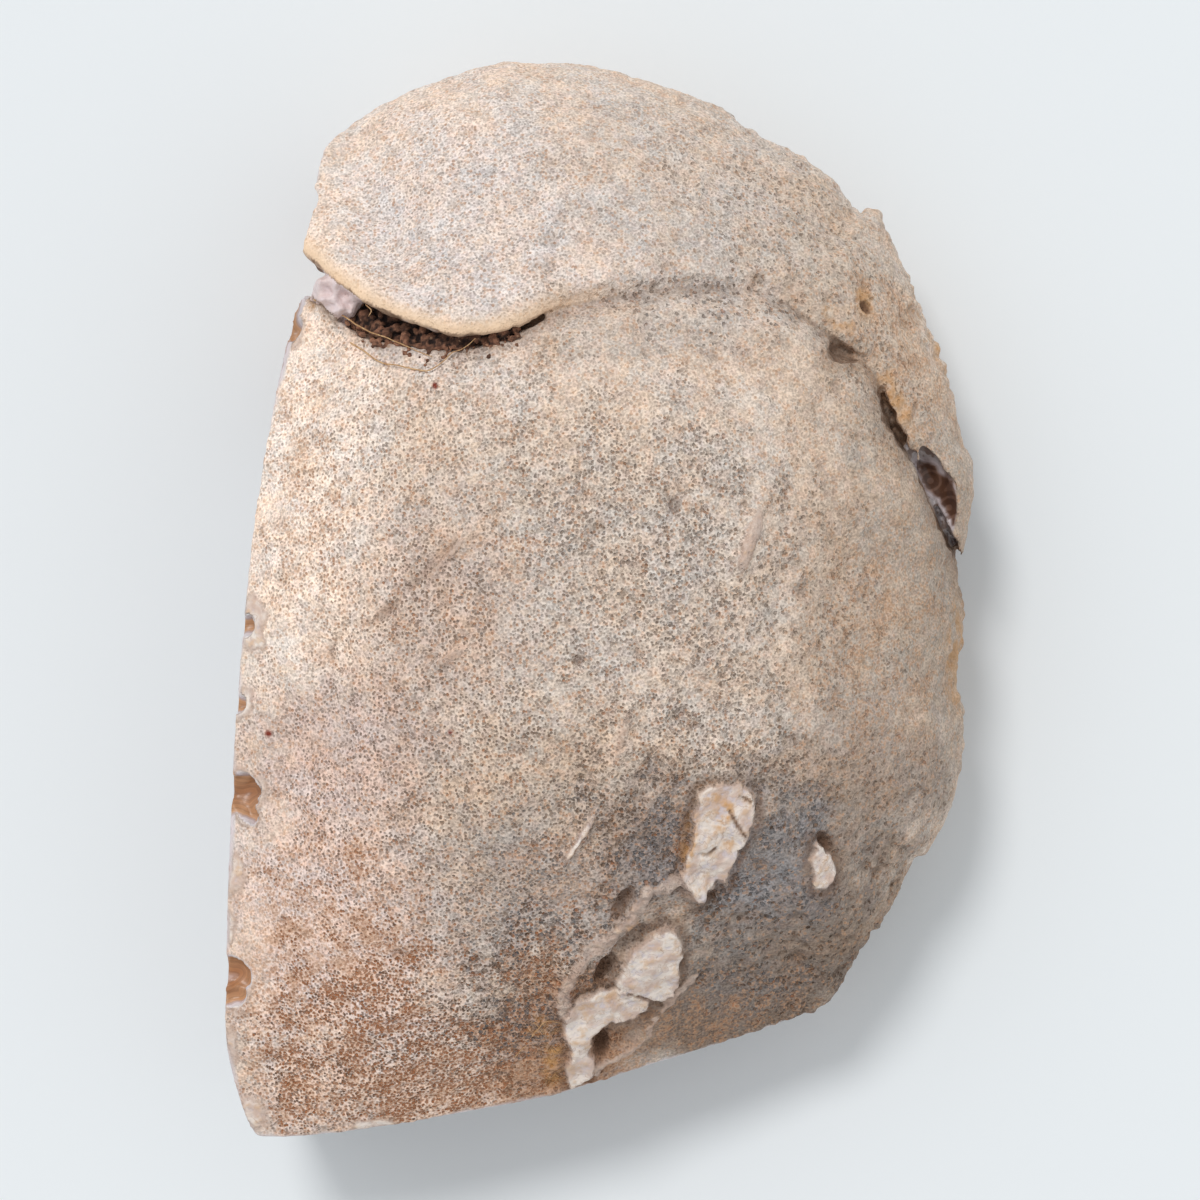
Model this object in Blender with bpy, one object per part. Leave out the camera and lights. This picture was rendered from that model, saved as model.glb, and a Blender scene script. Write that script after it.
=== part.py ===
"""Agate geode, a nodule of two lobes that grew together, sawn flat underneath and along two sides.

It lies on its sawn underside. The sandy rind faces up, +Y runs along its length.
All the sizes below are in millimetres.
"""

import bisect
import math

import bmesh
import bpy
from mathutils import Vector, noise

MM = 0.001

# Driving sizes
CROWN_HEIGHT = 37.0
CROWN_PLACE = (-5.0, 6.0)
CROWN_FALL_ACROSS = 0.0052
CROWN_FALL_ALONG = 0.0026
MIDDLE = (0.0, 0.0)
RIND_INSET_POWER = 1.8
RIND_SHOULDER = 2.6
SAWN_SHOULDER = 3.0
SAW_ALLOWANCE = 1.5
RIM_SETTLING = 0.12
FLANK_SWELL = 0.8

# Mesh density before thinning
SPOKES_EACH_SPAN = 10
LEAST_SPOKE_TURN = math.radians(1.0)
BROAD_SPREAD = math.radians(7.0)
RIM_DETAIL_POWER = 9.0
FLANK_DETAIL_POWER = 3.0
CROWN_RINGS = 60
CROWN_RING_SPACING = 0.8
FLANK_RINGS = 14
KEPT_SHARE = 0.2
WHOLE_BESIDE_LIP = 2.4

# The outline from above, anticlockwise from the lower right corner:
# x, y, height of the widest line or rim, inset of the base, and 1 where a saw made the flank.
OUTLINE = (
    (21.7, -37.0, 13.0, 4.0, 0.7),
    (24.2, -32.6, 12.0, 6.0, 0.0),
    (26.9, -28.9, 12.0, 6.5, 0.0),
    (29.1, -24.3, 12.0, 7.0, 0.0),
    (30.6, -23.3, 12.0, 7.0, 0.0),
    (32.8, -18.9, 12.0, 7.5, 0.0),
    (33.8, -14.3, 12.0, 7.5, 0.0),
    (33.7, -9.6, 12.0, 7.5, 0.0),
    (33.2, -7.5, 12.0, 7.5, 0.0),
    (33.9, -2.2, 12.0, 7.5, 0.0),
    (33.2, 3.4, 12.0, 7.5, 0.0),
    (33.9, 4.7, 12.0, 8.0, 0.0),
    (34.8, 10.2, 12.0, 8.0, 0.0),
    (34.6, 13.0, 12.0, 8.0, 0.0),
    (33.7, 14.7, 12.0, 7.5, 0.0),
    (32.6, 20.1, 12.0, 7.5, 0.0),
    (29.4, 28.1, 12.5, 7.5, 0.0),
    (26.4, 35.1, 13.0, 7.5, 0.0),
    (25.2, 36.2, 13.0, 7.5, 0.0),
    (23.7, 36.2, 13.0, 7.5, 0.0),
    (21.3, 39.4, 13.0, 7.5, 0.0),
    (18.6, 41.2, 13.0, 7.5, 0.0),
    (13.9, 43.7, 13.0, 7.5, 0.0),
    (10.0, 46.2, 13.0, 7.0, 0.0),
    (0.0, 49.4, 13.0, 6.5, 0.0),
    (-6.7, 49.8, 13.5, 6.5, 0.0),
    (-10.6, 49.5, 14.0, 6.5, 0.0),
    (-18.8, 46.5, 15.0, 6.0, 0.1),
    (-23.3, 43.4, 17.5, 5.5, 0.5),
    (-25.1, 41.3, 20.5, 5.0, 1.0),
    (-25.9, 37.8, 22.5, 5.0, 1.0),
    (-25.6, 36.5, 23.2, 5.0, 1.0),
    (-26.8, 31.6, 25.5, 5.0, 1.0),
    (-27.2, 27.2, 25.5, 5.0, 1.0),
    (-27.9, 25.2, 25.5, 5.0, 1.0),
    (-29.4, 17.8, 26.0, 5.0, 1.0),
    (-31.4, 4.7, 26.5, 4.5, 1.0),
    (-32.8, -10.0, 26.0, 4.5, 1.0),
    (-33.5, -21.4, 25.0, 4.0, 1.0),
    (-34.0, -33.2, 23.0, 4.0, 1.0),
    (-34.1, -40.2, 21.5, 4.0, 1.0),
    (-33.2, -44.8, 20.5, 3.5, 1.0),
    (-31.9, -48.4, 19.5, 3.5, 1.0),
    (-30.5, -49.2, 19.5, 3.0, 1.0),
    (-23.3, -48.7, 19.5, 3.0, 1.0),
    (-10.1, -46.7, 18.0, 3.0, 1.0),
    (-3.8, -45.5, 17.0, 3.0, 1.0),
    (0.5, -44.2, 16.5, 3.0, 1.0),
    (7.0, -42.3, 15.5, 3.0, 1.0),
    (15.2, -39.8, 14.0, 3.0, 1.0),
    (20.0, -38.0, 13.5, 3.0, 1.0),
)

# Lower edge of the upper lobe, from the left face to the right end: x, y, how far it stands above
# the surface of the lower body there, and the cleft below it: width, depth, and how far its foot
# runs in under the lobe.
LIP = (
    (-35.5, 33.4, 3.0, 8.7, 24.0, 1.0),
    (-29.1, 32.2, 3.0, 5.4, 24.0, 1.0),
    (-26.8, 31.3, 3.0, 3.9, 20.0, 1.2),
    (-23.6, 28.4, 3.2, 2.5, 11.0, 1.8),
    (-19.5, 25.7, 3.4, 2.7, 8.0, 2.6),
    (-15.2, 24.1, 3.2, 1.8, 6.5, 2.4),
    (-12.4, 23.3, 2.8, 1.2, 5.0, 2.0),
    (-7.6, 24.0, 1.8, 0.9, 3.0, 1.2),
    (-3.5, 25.8, 0.9, 0.2, 0.8, 0.3),
    (1.9, 27.0, 0.5, 0.0, 0.0, 0.0),
    (8.9, 27.9, 0.2, 0.0, 0.0, 0.0),
    (15.3, 27.3, -0.3, 0.0, 0.0, 0.0),
    (19.9, 24.4, -0.8, 0.2, 0.6, 0.1),
    (21.9, 23.1, -1.1, 1.5, 3.2, 0.5),
    (24.5, 20.9, -1.4, 0.9, 3.0, 0.7),
    (26.6, 16.5, -1.6, 1.0, 4.5, 1.0),
    (29.0, 11.8, -1.8, 1.6, 7.0, 1.2),
    (31.2, 7.3, -1.8, 1.5, 9.0, 1.2),
    (33.4, 3.6, -1.8, 1.3, 9.0, 1.0),
    (36.4, -1.9, -1.5, 2.2, 9.0, 0.4),
)
LEFT_CLEFT = (0.0, 0.42)
RIGHT_CLEFT = (0.62, 1.0)
CLEFT_SECTIONS = 44
CLEFT_FOOT_SHARE = 0.45
CLEFT_CLEARANCE = 5.0
CLEFT_MARGIN = 0.4
STEP_REACH = 9.0
LIP_ROUNDING = 1.6
LIP_DROP = 1.1
LOBE_SHARE = 0.65
BODY_SHARE = 0.35
CLOSED_RAMP = 2.0
LEAST_RAMP = 0.02
OPEN_WIDTH = 1.2
VALLEY_DEPTH = 1.0
VALLEY_REACH = 1.3
OPEN_VALLEY = 0.25

# Broken end of the upper lobe, a shallow hollow: centre, half sizes, turn about Z in degrees.
END_POCKET_PLACE = (30.9, 10.0)
END_POCKET_HALF = (1.7, 4.6, 2.6)
END_POCKET_TURN = 24.0

# Low ridges on the rind: start, end, height and half width.
RIDGES = (
    ((14.3, 8.8), (11.9, 1.7), 0.8, 0.9),
    ((2.8, -8.8), (1.1, -15.1), 0.5, 0.8),
    ((-0.4, -18.8), (-3.6, -23.7), 0.8, 0.6),
    ((-23.0, 17.7), (-24.0, 14.0), 0.5, 0.9),
    ((7.2, -25.1), (-1.1, -31.6), 0.9, 0.9),
    ((6.2, -37.1), (0.4, -42.7), 0.7, 0.7),
)
RIDGE_END_SHARE = 0.35
# A winding crease on the left of the lower body.
CREASE = ((-12.5, 5.2), (-16.3, 1.2), (-19.9, -2.0), (-22.7, -2.2), (-24.0, -4.8), (-24.0, -8.0))
CREASE_DEPTH = 0.45
CREASE_HALF_WIDTH = 0.9
# Leaves of bare chalcedony where the rind has broken off: centre, half sizes, turn in degrees, height.
LEAVES = (
    ((10.7, -21.3), (2.3, 5.0), -22.0, 0.7),
    ((4.4, -32.5), (2.3, 4.4), -28.0, 1.1),
    ((-0.6, -37.5), (3.2, 1.5), 20.0, 0.6),
    ((20.3, -23.9), (0.9, 2.5), -8.0, 0.7),
)
LEAF_FLAT_SHARE = 0.55
LEAF_EDGE_SHARE = 0.6
# Pits and broken hollows: centre, half sizes, turn in degrees, depth.
HOLLOWS = (
    ((0.7, -33.7), (1.3, 2.2), -35.0, 1.4),
    ((3.0, -27.6), (1.0, 2.2), -30.0, 1.0),
    ((0.2, -41.2), (1.0, 2.0), -12.0, 1.5),
    ((3.4, -40.4), (1.6, 1.6), 0.0, 0.7),
    ((20.3, -21.9), (0.8, 1.2), 0.0, 0.8),
    ((7.8, -21.5), (0.8, 3.0), -20.0, 0.8),
    ((-1.9, -5.3), (0.7, 0.7), 0.0, 0.5),
    ((6.6, 8.3), (0.7, 1.0), 0.0, 0.5),
    ((24.2, 26.6), (0.9, 0.6), -40.0, 0.6),
    ((-18.1, -31.8), (0.8, 0.7), 0.0, 0.4),
)
# Shell-shaped chips along the sawn left rim: centre, half sizes, depth.
CHIPS = (
    ((-32.2, -18.0), (2.6, 2.1), 1.5),
    ((-33.3, -34.6), (2.2, 2.0), 1.4),
    ((-31.4, -2.9), (1.6, 1.9), 0.9),
    ((-33.1, -26.5), (1.7, 1.3), 0.9),
    ((-32.4, -9.9), (1.4, 1.0), 0.7),
)
# Uneven growth of the rind all over
LUMP_SIZE = 9.0
LUMP_HEIGHT = 0.55
KNOB_SIZE = 3.2
KNOB_HEIGHT = 0.22

# Soil packed in the left cleft
SOIL_GAP = 0.45
SOIL_DEPTH = 2.2
SOIL_CREST = 0.5
SOIL_CLEFT = (0.14, 0.33)
SOIL_FOOT_SHARE = 0.72
SOIL_SECTIONS = 26
SOIL_LUMP = 0.8

SAW_BLOCK = 130.0
SAW_BLOCK_DEPTH = 10.0


def smooth_step(value):
    value = min(max(value, 0.0), 1.0)
    return value * value * (3.0 - 2.0 * value)


def spline(points, share, closed):
    """Catmull-Rom point at a share of the way, from 0 to 1, along the rows of numbers."""
    spans = len(points) if closed else len(points) - 1
    place = share * spans
    span = min(int(place), spans - 1)
    t = place - span

    def row(index):
        return points[index % spans] if closed else points[min(max(index, 0), spans)]

    before, start, end, after = (row(span + offset) for offset in (-1, 0, 1, 2))
    return [
        0.5 * (2 * b + (c - a) * t + (2 * a - 5 * b + 4 * c - d) * t * t + (3 * b - a - 3 * c + d) * t ** 3)
        for a, b, c, d in zip(before, start, end, after)
    ]


class Spoke:
    """One direction from the middle out to the outline."""

    def __init__(self, x, y, rim, inset, sawn):
        self.angle = math.atan2(y - MIDDLE[1], x - MIDDLE[0]) % math.tau
        self.reach = math.hypot(x - MIDDLE[0], y - MIDDLE[1])
        self.broad = self.reach
        self.rim = rim
        self.inset = inset
        self.sawn = sawn


def all_spokes():
    count = len(OUTLINE) * SPOKES_EACH_SPAN
    made = [Spoke(*spline(OUTLINE, index / count, True)) for index in range(count)]
    made.sort(key=lambda spoke: spoke.angle)
    kept = [made[0]]
    for spoke in made[1:]:
        if spoke.angle - kept[-1].angle > LEAST_SPOKE_TURN:
            kept.append(spoke)
    for spoke in kept:
        total, weights = 0.0, 0.0
        for other in made:
            apart = abs(other.angle - spoke.angle)
            apart = min(apart, math.tau - apart) / BROAD_SPREAD
            weight = math.exp(-apart * apart)
            total += weight * other.reach
            weights += weight
        spoke.broad = total / weights
    return kept


SPOKES = all_spokes()
SPOKE_ANGLES = [spoke.angle for spoke in SPOKES]
LIP_POINTS = [spline(LIP, index / 190.0, False) for index in range(191)]


def spoke_towards(x, y):
    """The outline's numbers in the direction of a point: reach, broad reach, rim height and sawn."""
    angle = math.atan2(y - MIDDLE[1], x - MIDDLE[0]) % math.tau
    after = bisect.bisect_left(SPOKE_ANGLES, angle) % len(SPOKES)
    low, high = SPOKES[after - 1], SPOKES[after]
    share = ((angle - low.angle) % math.tau) / ((high.angle - low.angle) % math.tau)
    return [
        getattr(low, part) + (getattr(high, part) - getattr(low, part)) * share
        for part in ("reach", "broad", "rim", "sawn")
    ]


def side_of_lip(x, y):
    """Distance from the lip, positive on the upper lobe, the lip's stand and the cleft's width."""
    nearest, best = 1e9, 0
    for index, point in enumerate(LIP_POINTS):
        far = (point[0] - x) ** 2 + (point[1] - y) ** 2
        if far < nearest:
            nearest, best = far, index
    best = min(best, len(LIP_POINTS) - 2)
    here, ahead = LIP_POINTS[best], LIP_POINTS[best + 1]
    run = Vector((ahead[0] - here[0], ahead[1] - here[1])).normalized()
    across = run.x * (y - here[1]) - run.y * (x - here[0])
    return math.copysign(math.sqrt(nearest), across), here[2], here[3]


def beside_segment(x, y, start, end):
    """Distance from a segment, and the share of the way along it."""
    ax, ay = start
    bx, by = end
    length = (bx - ax) ** 2 + (by - ay) ** 2
    share = min(max(((x - ax) * (bx - ax) + (y - ay) * (by - ay)) / length, 0.0), 1.0)
    return math.hypot(x - ax - (bx - ax) * share, y - ay - (by - ay) * share), share


def in_oval(x, y, centre, half, turn):
    """Distance from an oval's centre, as a share of the way to its rim."""
    cosine, sine = math.cos(math.radians(turn)), math.sin(math.radians(turn))
    dx, dy = x - centre[0], y - centre[1]
    return math.hypot((dx * cosine + dy * sine) / half[0], (dy * cosine - dx * sine) / half[1])


def lobe_step(x, y):
    """The two lobes round off towards the cleft where they meet, and one stands above the other."""
    away, stand, width = side_of_lip(x, y)
    past_middle = away + width / 2.0
    ramp = max(CLOSED_RAMP - width, LEAST_RAMP)
    on_lobe = smooth_step(past_middle / ramp + 0.5)
    from_edge = away if past_middle > 0.0 else -away - width
    fade = 1.0 - smooth_step(max(from_edge, 0.0) / STEP_REACH)
    height = (LOBE_SHARE * on_lobe - BODY_SHARE * (1.0 - on_lobe)) * stand * fade
    closed = 1.0 - smooth_step(width / OPEN_WIDTH)
    height -= on_lobe * LIP_DROP * max(1.0 - max(away, 0.0) / LIP_ROUNDING, 0.0) ** 2
    valley = VALLEY_DEPTH * (OPEN_VALLEY + (1.0 - OPEN_VALLEY) * closed)
    return height - valley * math.exp(-((max(from_edge, 0.0) / VALLEY_REACH) ** 2))


def relief(x, y):
    """Ridges, crease, leaves, hollows and chips on the rind."""
    height = 0.0
    for start, end, high, half in RIDGES:
        away, share = beside_segment(x, y, start, end)
        fall = RIDGE_END_SHARE + (1.0 - RIDGE_END_SHARE) * math.sin(math.pi * share)
        height += high * fall * math.exp(-((away / half) ** 2))
    away = min(beside_segment(x, y, a, b)[0] for a, b in zip(CREASE, CREASE[1:]))
    height -= CREASE_DEPTH * math.exp(-((away / CREASE_HALF_WIDTH) ** 2))
    for centre, half, turn, high in LEAVES:
        out = in_oval(x, y, centre, half, turn)
        height += high * (1.0 - smooth_step((out - LEAF_FLAT_SHARE) / LEAF_EDGE_SHARE))
    for centre, half, turn, deep in HOLLOWS:
        height -= deep * max(1.0 - in_oval(x, y, centre, half, turn) ** 2, 0.0)
    for centre, half, deep in CHIPS:
        height -= deep * max(1.0 - in_oval(x, y, centre, half, 0.0) ** 2, 0.0)
    return height


def lumps(x, y, z):
    broad = noise.noise(Vector((x, y, z)) / LUMP_SIZE + Vector((3.1, 7.7, 1.3)))
    fine = noise.noise(Vector((x, y, z)) / KNOB_SIZE)
    return LUMP_HEIGHT * broad + KNOB_HEIGHT * fine


def crown_height(x, y, share, rim, sawn):
    """Height of the rind's upper surface at a point, share of the way out to the rim."""
    crown = CROWN_HEIGHT
    crown -= CROWN_FALL_ACROSS * (x - CROWN_PLACE[0]) ** 2
    crown -= CROWN_FALL_ALONG * (y - CROWN_PLACE[1]) ** 2
    natural = math.sqrt(max(1.0 - share ** RIND_SHOULDER, 0.0))
    rise = natural + (1.0 - share ** SAWN_SHOULDER - natural) * sawn
    surface = rim + (crown - rim) * rise
    settle = sawn + (1.0 - sawn) * smooth_step((1.0 - share) / RIM_SETTLING)
    return surface + settle * (lobe_step(x, y) + relief(x, y) + lumps(x, y, surface))


def rind_height(x, y):
    """The same, from the point alone."""
    reach, broad, rim, sawn = spoke_towards(x, y)
    far = math.hypot(x - MIDDLE[0], y - MIDDLE[1])
    share = min(far / reach, 1.0)
    for _ in range(4):
        share = min((far - (reach - broad) * share ** RIM_DETAIL_POWER) / broad, 1.0)
    return crown_height(x, y, share, rim, sawn)


def material(name, colour, roughness):
    made = bpy.data.materials.new(name)
    made.use_nodes = True
    shader = made.node_tree.nodes["Principled BSDF"]
    shader.inputs["Base Color"].default_value = (*colour, 1.0)
    shader.inputs["Roughness"].default_value = roughness
    shader.inputs["Metallic"].default_value = 0.0
    return made


def finished(name, shape, look=None):
    """An object in the scene from a bmesh built in millimetres."""
    bmesh.ops.recalc_face_normals(shape, faces=shape.faces)
    bmesh.ops.scale(shape, vec=(MM, MM, MM), verts=shape.verts)
    mesh = bpy.data.meshes.new(name)
    shape.to_mesh(mesh)
    shape.free()
    made = bpy.data.objects.new(name, mesh)
    bpy.context.scene.collection.objects.link(made)
    if look is None:
        made.hide_render = True
        made.display_type = "WIRE"
    else:
        mesh.materials.append(look)
    return made


def join_rings(shape, rings):
    """Faces between rings of vertices, and a cap at each end."""
    for lower, upper in zip(rings, rings[1:]):
        for index in range(len(lower)):
            after = (index + 1) % len(lower)
            shape.faces.new((lower[index], lower[after], upper[after], upper[index]))
    shape.faces.new(rings[0])
    shape.faces.new(rings[-1])


def ring_at(shape, spokes_reach, height):
    """A ring of vertices: how far out on each spoke, and how high at each point."""
    ring = []
    for spoke in SPOKES:
        out = spokes_reach(spoke)
        x = MIDDLE[0] + out * math.cos(spoke.angle)
        y = MIDDLE[1] + out * math.sin(spoke.angle)
        ring.append(shape.verts.new((x, y, height(x, y, spoke))))
    return ring


def flank_reach(spoke, share):
    """How far out the flank is, share of the way up to the rim."""
    power = RIND_INSET_POWER + (1.0 - RIND_INSET_POWER) * spoke.sawn
    detail = spoke.sawn + (1.0 - spoke.sawn) * share ** FLANK_DETAIL_POWER
    turned = Vector((math.cos(spoke.angle), math.sin(spoke.angle), share * 0.4)) * spoke.broad
    swell = FLANK_SWELL * (1.0 - spoke.sawn) * math.sin(math.pi * share) * noise.noise(turned / LUMP_SIZE)
    return spoke.broad + (spoke.reach - spoke.broad) * detail - spoke.inset * (1.0 - share) ** power + swell


def nodule():
    """The whole nodule before the clefts are opened: base, flank and crown rings."""
    shape = bmesh.new()
    rings = []
    for step in range(FLANK_RINGS):
        share = step / FLANK_RINGS
        rings.append(
            ring_at(
                shape,
                lambda spoke: flank_reach(spoke, share),
                lambda x, y, spoke: (spoke.rim + SAW_ALLOWANCE) * share - SAW_ALLOWANCE,
            )
        )
    for step in range(CROWN_RINGS):
        share = (1.0 - step / CROWN_RINGS) ** CROWN_RING_SPACING
        detail = share ** RIM_DETAIL_POWER
        rings.append(
            ring_at(
                shape,
                lambda spoke: spoke.broad * share + (spoke.reach - spoke.broad) * detail,
                lambda x, y, spoke: crown_height(x, y, share, spoke.rim, spoke.sawn),
            )
        )
    join_rings(shape, rings)
    return shape


class CleftSection:
    """One place along the cleft: its middle, its side direction and the lower body's height there."""

    def __init__(self, share):
        x, y, self.stand, width, depth, self.under = spline(LIP, share, False)
        ahead = spline(LIP, min(share + 0.005, 1.0), False)
        back = spline(LIP, max(share - 0.005, 0.0), False)
        run = Vector((ahead[0] - back[0], ahead[1] - back[1])).normalized()
        self.side = Vector((-run.y, run.x))
        self.width = max(width, 0.15)
        self.depth = max(depth, 0.4)
        self.middle = Vector((x, y)) - self.side * self.width / 2.0
        self.top = rind_height(*(self.middle - self.side * (self.width / 2.0 + CLEFT_MARGIN)))

    def walls(self, down):
        """Where the cleft's two walls are, down being the share of the way to its foot."""
        half = self.width / 2.0
        upper = min(down / 0.5, 1.0)
        lower = max(down / 0.5 - 1.0, 0.0)
        near = -half + (half * 0.3 + self.under * 0.3) * upper
        far = half + self.under * 0.6 * upper
        foot = half * CLEFT_FOOT_SHARE
        return near + (self.under - foot - near) * lower, far + (self.under + foot - far) * lower

    def ring(self, shape, profile):
        points = [self.middle + self.side * across for across, up in profile]
        return [
            shape.verts.new((point.x, point.y, self.top + up))
            for point, (across, up) in zip(points, profile)
        ]


def cleft(start, end):
    """Closed wedge that follows a cleft: wide above the rind, narrow at its foot under the lobe."""
    shape = bmesh.new()
    rings = []
    for index in range(CLEFT_SECTIONS + 1):
        place = CleftSection(start + (end - start) * index / CLEFT_SECTIONS)
        sides = [(place.walls(down), -down * place.depth) for down in (0.0, 0.5, 1.0)]
        sides.insert(0, (place.walls(0.0), CLEFT_CLEARANCE))
        profile = [(near, up) for (near, far), up in sides]
        profile += [(far, up) for (near, far), up in reversed(sides)]
        rings.append(place.ring(shape, profile))
    join_rings(shape, rings)
    return shape


def end_pocket():
    """Rounded hollow that opens the right end of the upper lobe."""
    shape = bmesh.new()
    bmesh.ops.create_icosphere(shape, subdivisions=3, radius=1.0)
    x, y = END_POCKET_PLACE
    turn = math.radians(END_POCKET_TURN)
    for vertex in shape.verts:
        rough = 1.0 + 0.12 * noise.noise(vertex.co * 2.3)
        wide, long, high = (part * half * rough for part, half in zip(vertex.co, END_POCKET_HALF))
        vertex.co = (
            x + wide * math.cos(turn) - long * math.sin(turn),
            y + wide * math.sin(turn) + long * math.cos(turn),
            rind_height(x, y) - 0.6 + high,
        )
    return shape


def saw_block():
    """Block below the resting plane, which takes the nodule's underside off flat."""
    shape = bmesh.new()
    bmesh.ops.create_cube(shape, size=1.0)
    bmesh.ops.scale(shape, vec=(SAW_BLOCK, SAW_BLOCK, SAW_BLOCK_DEPTH), verts=shape.verts)
    bmesh.ops.translate(shape, vec=(0.0, 0.0, -SAW_BLOCK_DEPTH / 2.0), verts=shape.verts)
    return shape


def soil():
    """Lumpy filling of the left cleft, a little below the rind and clear of the stone."""
    shape = bmesh.new()
    rings = []
    for index in range(SOIL_SECTIONS):
        share = SOIL_CLEFT[0] + (SOIL_CLEFT[1] - SOIL_CLEFT[0]) * index / (SOIL_SECTIONS - 1)
        place = CleftSection(share)
        top = SOIL_DEPTH / place.depth
        clod = SOIL_LUMP * noise.noise(Vector((place.middle.x * 1.1, 0.0, 2.0)))
        near_side, far_side = [], []
        for down in (top, 0.5, SOIL_FOOT_SHARE):
            near, far = place.walls(down)
            near_side.append((near + SOIL_GAP, -down * place.depth))
            far_side.append((far - SOIL_GAP, -down * place.depth))
        crest = ((near_side[0][0] + far_side[0][0]) / 2.0, SOIL_CREST + clod - SOIL_DEPTH)
        rings.append(place.ring(shape, near_side + far_side[::-1] + [crest]))
    join_rings(shape, rings)
    return shape


def thin_away_from_lip(stone):
    """Fewer faces where the rind is plain, and all of them along the lip."""
    plain = stone.vertex_groups.new(name="plain_rind")
    for vertex in stone.data.vertices:
        away, stand, width = side_of_lip(vertex.co.x / MM, vertex.co.y / MM)
        beside = -width - WHOLE_BESIDE_LIP < away < WHOLE_BESIDE_LIP
        kept = beside and vertex.co.z > 0.0 and width > 0.1
        plain.add([vertex.index], 0.0 if kept else 1.0, "REPLACE")
    thin = stone.modifiers.new("thinning", "DECIMATE")
    thin.ratio = KEPT_SHARE
    thin.vertex_group = plain.name


def cut(solid, name, cutter):
    step = solid.modifiers.new(name, "BOOLEAN")
    step.operation = "DIFFERENCE"
    step.solver = "EXACT"
    step.object = cutter


def build():
    for old in list(bpy.data.objects):
        bpy.data.objects.remove(old)
    rind = material("sandy_rind", (0.58, 0.46, 0.36), 0.85)
    earth = material("dark_earth", (0.10, 0.06, 0.04), 0.95)

    stone = finished("geode_stone", nodule(), rind)
    thin_away_from_lip(stone)
    cut(stone, "left_cleft", finished("left_cleft_cutter", cleft(*LEFT_CLEFT)))
    cut(stone, "right_cleft", finished("right_cleft_cutter", cleft(*RIGHT_CLEFT)))
    cut(stone, "end_pocket", finished("end_pocket_cutter", end_pocket()))
    cut(stone, "saw_cut", finished("saw_block_cutter", saw_block()))
    finished("packed_soil", soil(), earth)


build()
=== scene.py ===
"""Agate geode on its sawn underside: sandy rind, bare chalcedony, banded agate, soil and rootlets.

Lengths are in millimetres in the row frame, until a mesh is made of them.
"""

import itertools
import math

import bmesh
import bpy
import numpy as np
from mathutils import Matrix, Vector, geometry, kdtree, noise


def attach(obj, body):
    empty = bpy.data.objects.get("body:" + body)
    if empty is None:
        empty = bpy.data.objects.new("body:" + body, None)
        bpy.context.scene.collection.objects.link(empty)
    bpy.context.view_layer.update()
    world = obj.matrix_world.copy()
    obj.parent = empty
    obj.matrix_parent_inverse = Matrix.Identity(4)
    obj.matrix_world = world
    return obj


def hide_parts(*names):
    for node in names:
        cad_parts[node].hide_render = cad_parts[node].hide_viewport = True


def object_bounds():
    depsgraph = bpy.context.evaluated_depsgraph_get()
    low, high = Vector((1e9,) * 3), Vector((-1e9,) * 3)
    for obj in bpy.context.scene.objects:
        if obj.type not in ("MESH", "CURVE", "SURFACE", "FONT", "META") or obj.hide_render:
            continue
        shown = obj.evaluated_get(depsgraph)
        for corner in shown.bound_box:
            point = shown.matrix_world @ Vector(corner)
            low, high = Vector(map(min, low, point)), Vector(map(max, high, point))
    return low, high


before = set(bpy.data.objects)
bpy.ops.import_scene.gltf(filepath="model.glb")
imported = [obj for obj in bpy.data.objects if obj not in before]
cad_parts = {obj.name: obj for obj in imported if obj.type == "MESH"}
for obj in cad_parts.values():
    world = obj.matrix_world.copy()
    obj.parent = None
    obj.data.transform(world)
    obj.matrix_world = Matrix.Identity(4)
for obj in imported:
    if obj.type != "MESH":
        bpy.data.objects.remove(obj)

MM = 0.001


def clear_startup_objects():
    for name in ("Cube", "Light", "Camera"):
        if name in bpy.data.objects:
            bpy.data.objects.remove(bpy.data.objects[name])


clear_startup_objects()
CAD_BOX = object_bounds()

# The nodule's form, the same as the solid's
CROWN_HEIGHT = 37.0
CROWN_PLACE = (-5.0, 6.0)
CROWN_FALL_ACROSS = 0.0052
CROWN_FALL_ALONG = 0.0026
RIND_INSET_POWER = 1.8
RIND_SHOULDER = 2.6
SAWN_SHOULDER = 3.0
SAW_ALLOWANCE = 1.5
SAWN_SKIN = 0.6
RIM_SETTLING = 0.12
RIM_DETAIL_POWER = 9.0
FLANK_DETAIL_POWER = 3.0
FLANK_SWELL = 0.8
BROAD_SPREAD = math.radians(7.0)

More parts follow.
